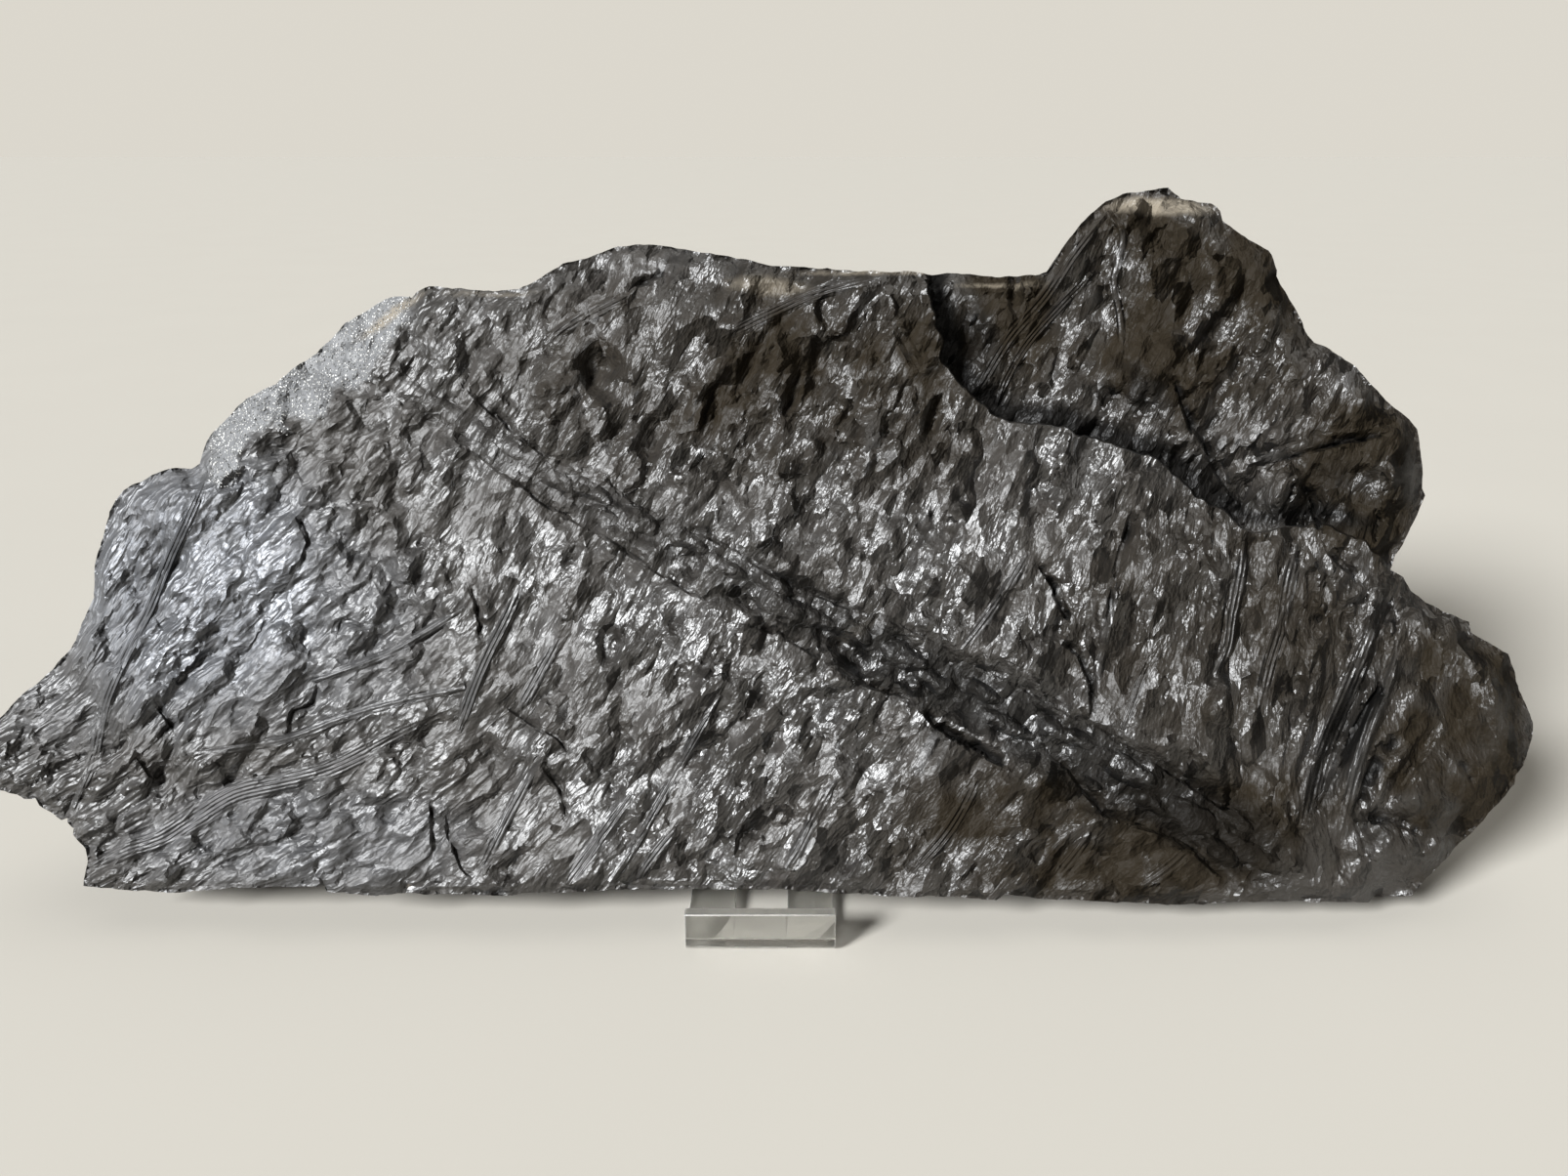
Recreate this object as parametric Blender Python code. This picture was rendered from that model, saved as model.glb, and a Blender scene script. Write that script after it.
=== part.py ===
# A slab of coaly shale with a fossil lycopsid stem and grass-like leaves on its face,
# leaning on a small easel that is bent from one strip of clear acrylic.
#
# The slab's features are set out on a drawing sheet ruled every quarter of a millimetre:
# (across, down) from the sheet's top-left corner. The sheet is the slab's face as the eye sees
# it from EYE_DISTANCE in front of EYE_POINT, so what lies below the face is drawn a little
# small. Heights above and below the face are in millimetres, and so is the mesh until it is
# made into an object.

import math

import bpy
import numpy as np
from mathutils import Vector
from mathutils.geometry import delaunay_2d_cdt

# Driving dimensions, in millimetres and degrees
GRID = 0.25               # one step of the drawing sheet
MIDDLE_COLUMN = 770       # sheet column over the slab's middle
FOOT_ROW = 925            # sheet row of the slab's lowest point
EYE_POINT = (803, 602)
EYE_DISTANCE = 301.5
LEAN = math.radians(21)   # slab and back rest, back from upright
SLAB_THICKNESS = 31.0
FOOT_BEHIND_LIP = 5.25    # foot row of the slab's face, behind the easel's front
FOOT_HEIGHT = 11.7        # and above the table
SHEET = 3.0               # acrylic
EASEL_WIDTH = 38.2
EASEL_MIDDLE = 2.2        # to the right of the slab's middle
LIP_HEIGHT = 12.0
SLOT_WIDTH = 14.0         # opening that the rear leg is cut from
SLOT_START = 12.0         # behind the lip's front
LEG_WIDTH = 13.0
REST_LENGTH = 84.0        # back rest, along its lean
BRIDGE = 9.0              # uncut top of the back rest
LEG_FOOT = 107.0          # rear leg's foot, behind the lip's front
BEND_RADIUS = 2.3         # to the middle of the sheet
CLEARANCE = 0.3           # between slab and easel
MIDDLE_UP = 75.0          # height on the face about which the back and the sides draw in
BACK_SIZE = (0.975, 0.95) # back against the face, across and up
SIDE_LAYERS = (0.3, 0.62) # broken layers of the sides, as shares of the thickness
LAYER_BITE = 0.012        # most that a layer draws in
HEEL_HALF = 34.0          # half width of the flat heel that stands on the easel
HEEL_TOP = 40.0

FACE_STEP = 5.2           # spacing of the mesh on the face
BACK_STEP = 11.0          # and on the back
RIM_STEP = 5.4            # and along the outline
GRAIN = math.radians(60)  # run of the leaves and of the rock's flakes, up to the right

OUTLINE = (
    (-30, 778), (-22, 760), (18, 718), (58, 683), (76, 660), (97, 612), (98, 582), (115, 520),
    (127, 503), (165, 484), (180, 480), (197, 481), (205, 475), (211, 456), (217, 446), (250, 413),
    (258, 406), (283, 394), (300, 378), (325, 363), (355, 332), (395, 307), (405, 304), (422, 306),
    (427, 300), (440, 294), (505, 299), (532, 297), (556, 285), (577, 271), (600, 266), (625, 256),
    (655, 251), (683, 253), (800, 274), (880, 279), (935, 279), (955, 283), (980, 281), (1020, 285),
    (1065, 283), (1073, 280), (1114, 222), (1134, 208), (1155, 199), (1196, 194), (1209, 205),
    (1240, 210), (1249, 217), (1252, 226), (1270, 242), (1298, 258), (1304, 266), (1307, 277),
    (1306, 283), (1328, 323), (1336, 340), (1345, 352), (1357, 356), (1385, 375), (1425, 417),
    (1443, 430), (1450, 440), (1457, 485), (1456, 500), (1459, 507), (1437, 556), (1428, 566),
    (1424, 583), (1436, 592), (1444, 605), (1460, 618), (1503, 638), (1505, 648), (1544, 670),
    (1558, 716), (1569, 740), (1568, 757), (1559, 783), (1551, 792), (1549, 802), (1534, 821),
    (1444, 916), (1406, 917), (1401, 923), (1320, 921), (1200, 925), (1060, 918), (1045, 915),
    (1028, 915), (1020, 921), (980, 916), (940, 917), (800, 909), (640, 909), (520, 915), (420, 913),
    (385, 916), (335, 912), (333, 906), (240, 907), (180, 912), (140, 911), (87, 906), (92, 882),
    (90, 868), (76, 854), (77, 848), (71, 841), (71, 834), (63, 838), (42, 823), (37, 816),
    (25, 817), (18, 812), (-16, 802), (-28, 790),
)

# Foot of the cliff round the sunken upper right of the face, then out past the outline
LEDGE = (
    (946, 270), (950, 300), (957, 320), (962, 345), (966, 370), (975, 385), (985, 397), (1000, 410),
    (1015, 422), (1040, 432), (1085, 440), (1135, 455), (1185, 468), (1212, 492), (1225, 508),
    (1245, 520), (1262, 528), (1283, 548), (1320, 540), (1345, 538), (1385, 548), (1400, 560),
    (1424, 583),
)
SUNKEN_SIDE = ((1480, 583), (1480, 160), (946, 160))
LEDGE_RUN = 1.6           # the cliff's own width

# Spot heights of the face: (across, down, height)
MAIN_SPOTS = (
    (0, 770, -4.0), (110, 560, -3.0), (110, 860, -2.0), (200, 520, 0.5), (220, 700, 1.5),
    (180, 895, -3.5), (300, 640, 1.0), (290, 860, -0.5), (290, 470, 0.0), (400, 560, 1.0),
    (400, 700, -1.0), (400, 860, -1.0), (420, 340, -2.0), (500, 340, -0.5), (520, 560, 0.5),
    (520, 680, 0.5), (500, 800, -0.5), (600, 310, 0.0), (620, 620, 1.0), (600, 740, 0.5),
    (620, 880, 0.0), (700, 330, 1.0), (720, 480, 0.0), (700, 700, 0.5), (760, 840, 0.5),
    (800, 300, 0.5), (820, 400, 1.0), (800, 520, 0.5), (840, 720, 1.0), (900, 340, 1.5),
    (920, 460, 2.0), (960, 560, 1.5), (900, 860, 0.0), (1000, 860, -0.5), (1050, 520, 1.0),
    (1060, 660, 0.0), (1150, 560, 0.5), (1160, 680, 0.0), (1120, 890, -1.0), (1240, 600, 0.5),
    (1240, 700, 0.0), (1300, 900, -1.0), (1340, 640, 0.5), (1330, 780, -1.0), (1440, 640, -2.0),
    (1450, 780, 0.5), (1530, 740, -3.0), (1480, 860, -2.0),
)
SUNKEN_SPOTS = (
    (970, 340, -9.0), (1010, 400, -7.5), (1050, 320, -7.0), (1100, 260, -5.0), (1090, 400, -5.5),
    (1140, 440, -5.0), (1180, 230, -3.5), (1180, 330, -6.5), (1190, 410, -3.5), (1230, 250, -3.0),
    (1250, 460, -6.5), (1280, 520, -9.0), (1290, 300, -6.0), (1280, 400, -3.5), (1340, 420, -2.0),
    (1340, 470, -3.0), (1340, 520, -7.5), (1410, 450, -2.5), (1410, 540, -7.0), (1440, 500, -6.0),
)
SPOT_REACH = 13.0

# Pressed stem: its middle line with its half width, then the cushions that overlap along it,
# each (across, down, half length, half width, height) with its length along the stem
STEM = (
    (398, 388, 20), (440, 412, 22), (490, 442, 24), (545, 480, 26), (600, 512, 28), (660, 540, 30),
    (720, 570, 32), (790, 608, 34), (870, 648, 36), (950, 692, 40), (1030, 733, 42), (1110, 772, 44),
    (1190, 815, 46), (1270, 862, 46), (1340, 900, 44),
)
STEM_DEPTH = 2.6
CUSHIONS = (
    (408, 396, 30, 15, 2.4), (470, 432, 34, 13, 2.6), (525, 462, 30, 10, 2.2), (560, 486, 22, 12, 2.0),
    (606, 503, 24, 10, 2.6), (650, 532, 28, 15, 3.0), (618, 530, 16, 12, 2.0), (702, 552, 26, 10, 2.4),
    (742, 580, 24, 10, 3.0), (792, 598, 24, 12, 3.2), (800, 622, 36, 14, 3.0), (848, 604, 20, 10, 2.6),
    (838, 634, 20, 10, 2.2), (872, 648, 22, 13, 3.4), (914, 642, 26, 9, 2.6), (925, 672, 24, 14, 2.6),
    (960, 700, 26, 12, 2.4), (1000, 706, 28, 12, 2.6), (1035, 690, 28, 13, 2.8), (1030, 742, 34, 12, 2.4),
    (1090, 718, 26, 12, 2.6), (1090, 752, 36, 12, 3.0), (1150, 786, 38, 16, 3.0), (1170, 762, 30, 9, 2.2),
    (1218, 836, 32, 16, 3.4), (1180, 822, 24, 11, 2.4), (1245, 868, 30, 12, 2.6), (1288, 878, 34, 14, 2.4),
    (1262, 838, 26, 9, 2.2),
)

# Leaves and ridges: half width and height in millimetres, then the line they follow
RIDGES = (
    (1.8, 1.0, (213, 480), (200, 515), (175, 570), (155, 620), (140, 650), (110, 715), (95, 780), (72, 832)),
    (2.2, 1.5, (95, 885), (130, 870), (165, 858), (200, 836), (240, 812), (290, 800), (330, 790),
     (365, 775), (395, 758), (425, 743)),
    (1.8, 1.4, (290, 702), (330, 686), (355, 683), (380, 672), (400, 655), (440, 632), (468, 615)),
    (1.6, 0.9, (345, 735), (380, 722), (420, 710), (470, 703)),
    (2.0, 1.1, (533, 600), (520, 630), (500, 670), (485, 705), (470, 747)),
    (1.8, 1.0, (571, 655), (555, 685), (531, 728)),
    (1.5, 1.4, (736, 715), (715, 750), (690, 795), (670, 830), (650, 865), (625, 903)),
    (1.8, 1.0, (548, 785), (525, 825), (510, 855), (491, 893)),
    (2.4, 1.2, (645, 815), (620, 850), (595, 885), (581, 904)),
    (1.5, 1.0, (690, 851), (670, 875), (654, 898)),
    (1.8, 1.0, (855, 800), (835, 835), (820, 865), (805, 889)),
    (2.2, 0.9, (740, 345), (780, 325), (830, 302), (870, 290), (900, 284)),
    (2.0, 1.2, (1130, 222), (1100, 260), (1070, 305), (1035, 345), (1010, 385), (998, 405)),
    (1.6, 1.0, (1118, 280), (1080, 320), (1050, 355), (1030, 390), (1022, 412)),
    (1.5, 1.8, (1137, 216), (1150, 240), (1145, 270), (1141, 285), (1143, 300), (1148, 330), (1148, 367)),
    (1.6, 1.2, (1052, 568), (1030, 605), (1005, 640), (985, 665)),
    (1.9, 1.3, (1275, 556), (1270, 590), (1262, 630), (1257, 662), (1245, 690)),
    (2.4, 1.3, (1328, 560), (1318, 600), (1312, 640), (1300, 680), (1290, 722)),
    (1.4, 1.1, (1146, 596), (1135, 630), (1129, 665), (1122, 710)),
    (1.6, 1.2, (1192, 652), (1172, 688), (1160, 720), (1150, 745)),
    (2.4, 1.8, (1398, 636), (1385, 665), (1370, 695), (1345, 738)),
    (2.2, 1.2, (1000, 800), (985, 830), (965, 860), (935, 893)),
    (1.9, 1.0, (1115, 855), (1100, 875), (1078, 902)),
    (2.2, 1.1, (1220, 868), (1195, 890), (1172, 906)),
    (1.8, 1.5, (1280, 475), (1340, 455), (1380, 447), (1420, 440)),
    (1.9, 1.6, (560, 352), (578, 337), (600, 324), (640, 304)),
    (1.8, 1.2, (960, 748), (948, 772), (936, 796)),
)

# Cracks and creases: half width and depth in millimetres, then the line they follow
CREASES = (
    (1.3, 2.6, (465, 385), (500, 420), (540, 455), (565, 470), (620, 490), (650, 515), (690, 532)),
    (1.3, 2.4, (690, 532), (745, 560), (790, 588), (830, 610), (880, 626), (930, 642), (975, 672)),
    (1.5, 2.8, (975, 672), (1040, 700), (1115, 742), (1165, 770), (1200, 792), (1260, 832), (1330, 866)),
    (1.2, 2.2, (440, 440), (490, 465), (520, 490), (560, 518), (610, 545), (680, 590), (740, 628)),
    (1.4, 2.4, (740, 632), (800, 650), (840, 674), (885, 700), (940, 722)),
    (1.8, 4.2, (940, 722), (960, 745), (1000, 770), (1035, 786)),
    (1.6, 3.4, (1058, 760), (1095, 788), (1112, 812), (1135, 838), (1190, 852), (1225, 874), (1262, 908)),
    (1.2, 2.6, (155, 715), (165, 730), (180, 750)),
    (1.2, 2.6, (140, 775), (150, 790), (157, 800)),
    (1.5, 2.4, (300, 525), (310, 540), (315, 556), (308, 575), (305, 584)),
    (1.3, 2.2, (398, 633), (365, 640), (350, 634), (344, 655)),
    (1.5, 2.8, (478, 598), (488, 620), (491, 655)),
    (1.3, 2.6, (515, 722), (545, 742), (570, 755), (583, 772)),
    (1.5, 2.4, (325, 700), (320, 720), (300, 726), (294, 755)),
    (1.7, 3.2, (440, 820), (444, 850), (443, 878)),
    (1.8, 3.4, (456, 830), (462, 862), (472, 888), (486, 904)),
    (1.8, 3.0, (555, 785), (572, 806), (578, 842)),
    (1.4, 3.0, (1060, 577), (1075, 600), (1096, 640)),
    (1.6, 3.0, (1085, 655), (1105, 670), (1117, 700), (1119, 742)),
    (1.4, 2.8, (1160, 520), (1148, 560), (1138, 600), (1134, 640)),
    (1.7, 4.0, (1200, 380), (1220, 440), (1250, 490), (1268, 516)),
    (1.4, 2.4, (1357, 562), (1380, 585), (1400, 606)),
    (1.2, 1.8, (1338, 642), (1370, 625), (1410, 612)),
    (2.2, 3.6, (1420, 690), (1400, 722), (1385, 748), (1370, 786), (1360, 810), (1342, 842)),
    (2.2, 3.4, (1452, 732), (1412, 764), (1396, 800), (1386, 832)),
    (1.5, 2.4, (1492, 775), (1503, 798), (1512, 818)),
    (2.0, 3.4, (1392, 838), (1440, 846), (1456, 856)),
    (1.3, 2.2, (640, 305), (655, 292), (680, 285), (686, 268), (691, 258)),
)

# Hollows and bosses: (across, down, half width, half height, turn in degrees, height)
SPREADS = (
    (618, 382, 20, 32, -20, -5.0), (664, 448, 18, 22, 0, -4.5), (727, 432, 10, 38, 14, -4.0),
    (812, 402, 8, 28, 20, -2.6), (958, 428, 12, 28, 20, -3.2), (930, 355, 7, 25, -25, -2.2),
    (624, 660, 12, 22, 0, -2.0), (870, 668, 15, 26, -40, -3.4), (1041, 306, 8, 28, 0, -3.0),
    (172, 576, 14, 16, 40, -2.2), (222, 640, 12, 18, 0, -1.8), (240, 492, 18, 8, -35, -2.8),
    (290, 560, 34, 44, 25, 1.6), (690, 330, 40, 46, 10, 1.4), (795, 860, 34, 30, 0, 0.8),
    (1040, 470, 22, 40, 20, 1.6), (1110, 520, 44, 34, 0, 1.2), (1240, 560, 30, 34, 0, 1.6),
    (1225, 540, 20, 18, 0, 1.4), (1300, 600, 24, 60, 8, 1.4), (1250, 720, 26, 26, 20, 2.2),
    (1450, 800, 54, 34, -20, 2.2), (1460, 690, 40, 40, 0, 1.6), (1520, 710, 26, 50, -10, 1.4),
    (1410, 865, 34, 24, -30, 2.0), (860, 690, 26, 18, 30, 1.8), (850, 560, 30, 20, -30, 1.4),
    (490, 395, 22, 16, -30, 1.8), (560, 385, 26, 22, -20, 2.0), (1215, 230, 34, 20, 0, 1.6),
)

# Width of the sloping margin inside the outline, at the sheet columns where it changes, along
# the top and the bottom of the slab, and how far it falls
TOP_MARGIN = ((-30, 5.0), (110, 3.0), (205, 8.0), (300, 13.0), (380, 15.0), (430, 6.0), (560, 4.0),
              (940, 3.5), (1100, 4.0), (1250, 5.0), (1440, 5.0), (1570, 7.0))
BOTTOM_MARGIN = ((-30, 4.0), (90, 2.0), (1000, 2.0), (1400, 4.0), (1450, 7.0), (1570, 7.0))
TOP_FALL = ((-30, 4.0), (110, 3.0), (205, 6.0), (300, 9.0), (400, 8.0), (430, 4.0), (560, 3.0),
            (940, 2.6), (1250, 3.5), (1440, 4.5), (1570, 6.0))
BOTTOM_FALL = ((-30, 3.0), (90, 1.6), (1000, 1.6), (1400, 3.0), (1450, 5.0), (1570, 6.0))


def to_mm(points):
    """Sheet positions as millimetres to the right of the slab's middle and up from its foot."""
    sheet = np.array(points, float)
    return np.column_stack(((sheet[:, 0] - MIDDLE_COLUMN) * GRID, (FOOT_ROW - sheet[:, 1]) * GRID))


def chance(column, row, seed):
    """The same number from 0 to 1 each time for one cell of a lattice."""
    mixed = np.sin(column * 127.1 + row * 311.7 + seed * 74.7) * 43758.5453
    return mixed - np.floor(mixed)


def smooth_step(value):
    value = np.clip(value, 0, 1)
    return value * value * (3 - 2 * value)


def resample(points, step):
    """Points about a step apart along a line, its corners kept."""
    out = []
    for start, end in zip(points[:-1], points[1:]):
        count = max(1, round(float(np.hypot(*(end - start))) / step))
        out.extend(start + (end - start) * i / count for i in range(count))
    out.append(points[-1])
    return np.array(out)


def distance_to_line(points, line):
    """How far each point is from a line of straight runs, and how far along the line it is."""
    nearest = np.full(len(points), np.inf)
    along = np.zeros(len(points))
    travelled = 0.0
    for start, end in zip(line[:-1], line[1:]):
        run = end - start
        length = float(np.hypot(*run))
        share = np.clip((points - start) @ run / length ** 2, 0, 1)
        away = np.hypot(*(points - start - share[:, None] * run).T)
        closer = away < nearest
        nearest[closer] = away[closer]
        along[closer] = travelled + share[closer] * length
        travelled += length
    return nearest, along / travelled


def inside(points, ring):
    """Whether each point is inside a closed ring."""
    crossings = np.zeros(len(points), int)
    for start, end in zip(ring, np.roll(ring, -1, axis=0)):
        spans = (start[1] > points[:, 1]) != (end[1] > points[:, 1])
        rise = end[1] - start[1] if end[1] != start[1] else 1.0
        meets = start[0] + (points[:, 1] - start[1]) / rise * (end[0] - start[0])
        crossings += spans & (points[:, 0] < meets)
    return crossings % 2 == 1


def spot_surface(points, spots):
    """A smooth surface through spot heights."""
    places = to_mm([spot[:2] for spot in spots])
    heights = np.array([spot[2] for spot in spots])
    gaps = np.hypot(points[:, None, 0] - places[:, 0], points[:, None, 1] - places[:, 1])
    weights = np.exp(-(gaps / SPOT_REACH) ** 2) + 1e-6 / (1 + gaps)
    return weights @ heights / weights.sum(axis=1)


def flakes(points, size, stretch, height, seed):
    """Overlapping flakes of rock, longer along the grain, each at its own height and tilt."""
    run, cross = math.cos(GRAIN), math.sin(GRAIN)
    along = (points[:, 0] * run + points[:, 1] * cross) / (size * stretch)
    across = (points[:, 1] * run - points[:, 0] * cross) / size
    column, row = np.floor(along), np.floor(across)
    nearest = np.full(len(points), np.inf)
    level = np.zeros(len(points))
    for i in (-1, 0, 1):
        for j in (-1, 0, 1):
            cell, line = column + i, row + j
            off_along = along - cell - 0.15 - 0.7 * chance(cell, line, seed)
            off_across = across - line - 0.15 - 0.7 * chance(cell, line, seed + 1)
            gap = off_along ** 2 + off_across ** 2
            tilt = off_along * (chance(cell, line, seed + 2) - 0.5)
            tilt = tilt + off_across * (chance(cell, line, seed + 3) - 0.5) * 1.6
            closer = gap < nearest
            nearest[closer] = gap[closer]
            level[closer] = (chance(cell, line, seed + 4) - 0.5 + tilt)[closer]
    return level * height


def spread(points, item):
    """A soft-edged hollow or boss."""
    across, down, half_width, half_height, turn, height = item
    offset = points - to_mm([(across, down)])[0]
    turn = math.radians(turn)
    sideways = offset[:, 0] * math.cos(turn) - offset[:, 1] * math.sin(turn)
    upwards = offset[:, 0] * math.sin(turn) + offset[:, 1] * math.cos(turn)
    reach = np.hypot(sideways / (half_width * GRID), upwards / (half_height * GRID))
    return height * (1 - smooth_step((reach - 0.45) / 0.8))


def stem_line():
    return to_mm([point[:2] for point in STEM])


def stem_heading(across, down):
    """The stem's direction at a place on it, down to the right."""
    line = stem_line()
    station = distance_to_line(to_mm([(across, down)]), line)[1][0]
    stations = distance_to_line(line, line)[1]
    ahead, behind = (
        np.array([np.interp(station + shift, stations, line[:, axis]) for axis in (0, 1)])
        for shift in (0.01, -0.01)
    )
    return (ahead - behind) / np.hypot(*(ahead - behind))


def stem_relief(points):
    """The trough of the stem with its cushions, as a height and as how far in it a point is."""
    line = stem_line()
    away, along = distance_to_line(points, line)
    stations = distance_to_line(line, line)[1]
    half = np.interp(along, stations, [point[2] * GRID for point in STEM])
    depth = 1 - smooth_step((away / half - 0.55) / 0.6)
    ends = smooth_step(along / 0.05) * smooth_step((1 - along) / 0.06)
    height = -STEM_DEPTH * depth * ends
    for across, down, length, width, rise in CUSHIONS:
        offset = points - to_mm([(across, down)])[0]
        heading = stem_heading(across, down)
        lengthwise = (offset @ heading) / (length * GRID)
        sideways = (offset @ (-heading[1], heading[0])) / (width * GRID)
        dome = np.sqrt(np.clip(1 - lengthwise ** 2 - sideways ** 2, 0, 1))
        scale = dome * (1 + 0.25 * lengthwise)
        height = np.maximum(height, -STEM_DEPTH + rise * scale)
    return height


def line_relief(points, items, sign):
    """Ridges or creases, each fading out at its ends."""
    height = np.zeros(len(points))
    for half, rise, *line in items:
        away, along = distance_to_line(points, to_mm(line))
        ends = 0.35 + 0.65 * smooth_step(along / 0.12) * smooth_step((1 - along) / 0.12)
        height = np.maximum(height, rise * ends * (1 - smooth_step(away / half)))
    return sign * height


def margin_fall(points, ring):
    """How far the face falls away in the sloping margin inside the outline."""
    away = distance_to_line(points, np.vstack((ring, ring[:1])))[0]
    column = points[:, 0] / GRID + MIDDLE_COLUMN
    middle = np.interp(column, (-30, 100, 900, 1150, 1570), (36, 52, 80, 90, 45))
    top = smooth_step((points[:, 1] - middle) / 20 + 0.5)
    width = np.interp(column, *zip(*TOP_MARGIN)) * top + np.interp(column, *zip(*BOTTOM_MARGIN)) * (1 - top)
    fall = np.interp(column, *zip(*TOP_FALL)) * top + np.interp(column, *zip(*BOTTOM_FALL)) * (1 - top)
    return fall * (1 - np.clip(away / width, 0, 1)) ** 1.25


def face_height(points):
    """Height of the slab's face, in millimetres."""
    sunken_ring = to_mm(LEDGE + SUNKEN_SIDE)
    away = distance_to_line(points, to_mm(LEDGE))[0]
    drop = smooth_step(np.where(inside(points, sunken_ring), away, 0) / LEDGE_RUN)
    height = spot_surface(points, MAIN_SPOTS) * (1 - drop) + spot_surface(points, SUNKEN_SPOTS) * drop
    height = height + flakes(points, 13, 1.7, 1.9, 11) + flakes(points, 6, 1.6, 0.8, 23)
    height = height + stem_relief(points) * (1 - drop)
    height = height + line_relief(points, RIDGES, 1) + line_relief(points, CREASES, -1)
    for item in SPREADS:
        height = height + spread(points, item)
    return height - margin_fall(points, to_mm(OUTLINE))


def filler(ring, step, clear_of, gap, seed):
    """Points in jittered rows that fill a ring, clear of the points given."""
    low, high = ring.min(axis=0), ring.max(axis=0)
    rows, columns = (int(span / step * 1.2) + 2 for span in (high - low)[::-1])
    row, column = np.meshgrid(np.arange(rows), np.arange(columns), indexing="ij")
    row, column = row.ravel(), column.ravel()
    jitter = np.column_stack((chance(column, row, seed), chance(column, row, seed + 1))) - 0.5
    points = low + np.column_stack(((column + 0.5 * (row % 2)) * step, row * step * 0.866))
    points = points + jitter * 0.42 * step
    points = points[inside(points, ring)]
    nearest = np.full(len(points), np.inf)
    for other in clear_of:
        nearest = np.minimum(nearest, np.hypot(*(points - other).T))
    return points[nearest > gap]


def beside(line, gap):
    """A line that keeps beside another, on its left."""
    along = np.gradient(line, axis=0)
    return line + np.column_stack((-along[:, 1], along[:, 0])) / np.hypot(*along.T)[:, None] * gap


def guide_lines(ring):
    """Lines that the mesh of the face follows: crests and their sides, crack bottoms, cliff top
    and foot, and the rims and crests of the stem's cushions."""
    lines = [resample(to_mm(line), RIM_STEP) for _, _, *line in RIDGES + CREASES]
    ledge = to_mm(LEDGE)
    lines.append(resample(ledge, RIM_STEP))
    lines.append(resample(beside(ledge, LEDGE_RUN), RIM_STEP))
    for across, down, length, width, _ in CUSHIONS:
        centre, heading = to_mm([(across, down)])[0], stem_heading(across, down)
        side = np.array((-heading[1], heading[0]))
        turns = np.linspace(0, 2 * math.pi, 9)[:, None]
        rim = heading * np.cos(turns) * length * GRID + side * np.sin(turns) * width * GRID
        lines.append(centre + rim * 1.04)
        lines.append(centre + heading * np.array([[-0.45], [0.1], [0.6]]) * length * GRID)
    for half, _, *line in RIDGES:
        lines.extend(resample(beside(to_mm(line), half * side), RIM_STEP * 1.2) for side in (-1, 1))
    closed = np.vstack((ring, ring[:1]))
    kept = []
    for line in lines:
        clear = inside(line, ring) & (distance_to_line(line, closed)[0] > 1.5)
        run = []
        for point, good in zip(line, clear):
            crowded = any(np.hypot(*(np.array(other) - point).T).min() < 1.1 for other in kept)
            if good and not crowded:
                run.append(point)
            elif run:
                kept.append(run)
                run = []
        if run:
            kept.append(run)
    return kept


def triangulate(ring, lines, fill):
    """A triangle mesh of the ring's inside that follows the lines, as points and triangles."""
    points, edges = [Vector(point) for point in ring], []
    for line in lines:
        first = len(points)
        points.extend(Vector(point) for point in line)
        edges.extend((first + i, first + i + 1) for i in range(len(line) - 1))
    points.extend(Vector(point) for point in fill)
    flat, _, faces, *_ = delaunay_2d_cdt(points, edges, [list(range(len(ring)))], 1, 1e-5)
    return np.array([tuple(point) for point in flat]), [tuple(face) for face in faces]


def boundary(faces):
    """The mesh's outer edge, as indices in order, anticlockwise."""
    edges = {(a, b) for face in faces for a, b in zip(face, face[1:] + face[:1])}
    following = {a: b for a, b in edges if (b, a) not in edges}
    loop = [min(following)]
    while following[loop[-1]] != loop[0]:
        loop.append(following[loop[-1]])
    return loop


def spread_from_eye(points, height):
    """Sheet positions moved out or in to where the eye's line meets their height."""
    middle = to_mm([EYE_POINT])[0]
    return middle + (points - middle) * (1 - np.asarray(height) / EYE_DISTANCE)[:, None]


def place(points, height):
    """Points on the slab's face, with heights above it, as positions in the room."""
    across, up = points[:, 0], points[:, 1]
    depth = FOOT_BEHIND_LIP + up * math.sin(LEAN) - height * math.cos(LEAN)
    rise = FOOT_HEIGHT + up * math.cos(LEAN) + height * math.sin(LEAN)
    return np.column_stack((across, depth, rise))


def back_height(points):
    """The rough back, flat where the easel's back rest touches it."""
    rough = flakes(points, 21, 1.4, 5.0, 41) + flakes(points, 11, 1.3, 1.6, 53)
    depth = -SLAB_THICKNESS + np.clip(rough + 3.2, 0.6, 9)
    near = 1 - smooth_step((np.abs(points[:, 0] - EASEL_MIDDLE) - EASEL_WIDTH / 2 - 2) / 10)
    near = near * (1 - smooth_step((points[:, 1] - REST_LENGTH - 4) / 10))
    return depth * (1 - near) - SLAB_THICKNESS * near


def drawn_in(points, across, up):
    """Points drawn in towards the middle of the slab."""
    return np.column_stack((points[:, 0] * across, MIDDLE_UP + (points[:, 1] - MIDDLE_UP) * up))


def over_easel(points):
    """1 over the easel, falling to 0 beside it."""
    return 1 / (1 + ((points[:, 0] - EASEL_MIDDLE) / HEEL_HALF) ** 6)


def back_ring(ring):
    """The outline of the back: a little smaller, with a heel that stands on the easel's ledge."""
    squeezed = drawn_in(ring, *BACK_SIZE)
    heel = over_easel(ring) * (ring[:, 1] < HEEL_TOP)
    rest = (SHEET + CLEARANCE - FOOT_HEIGHT + SLAB_THICKNESS * math.sin(LEAN)) / math.cos(LEAN)
    squeezed[:, 1] += heel * (rest + 0.05 - squeezed[:, 1])
    return squeezed


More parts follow.
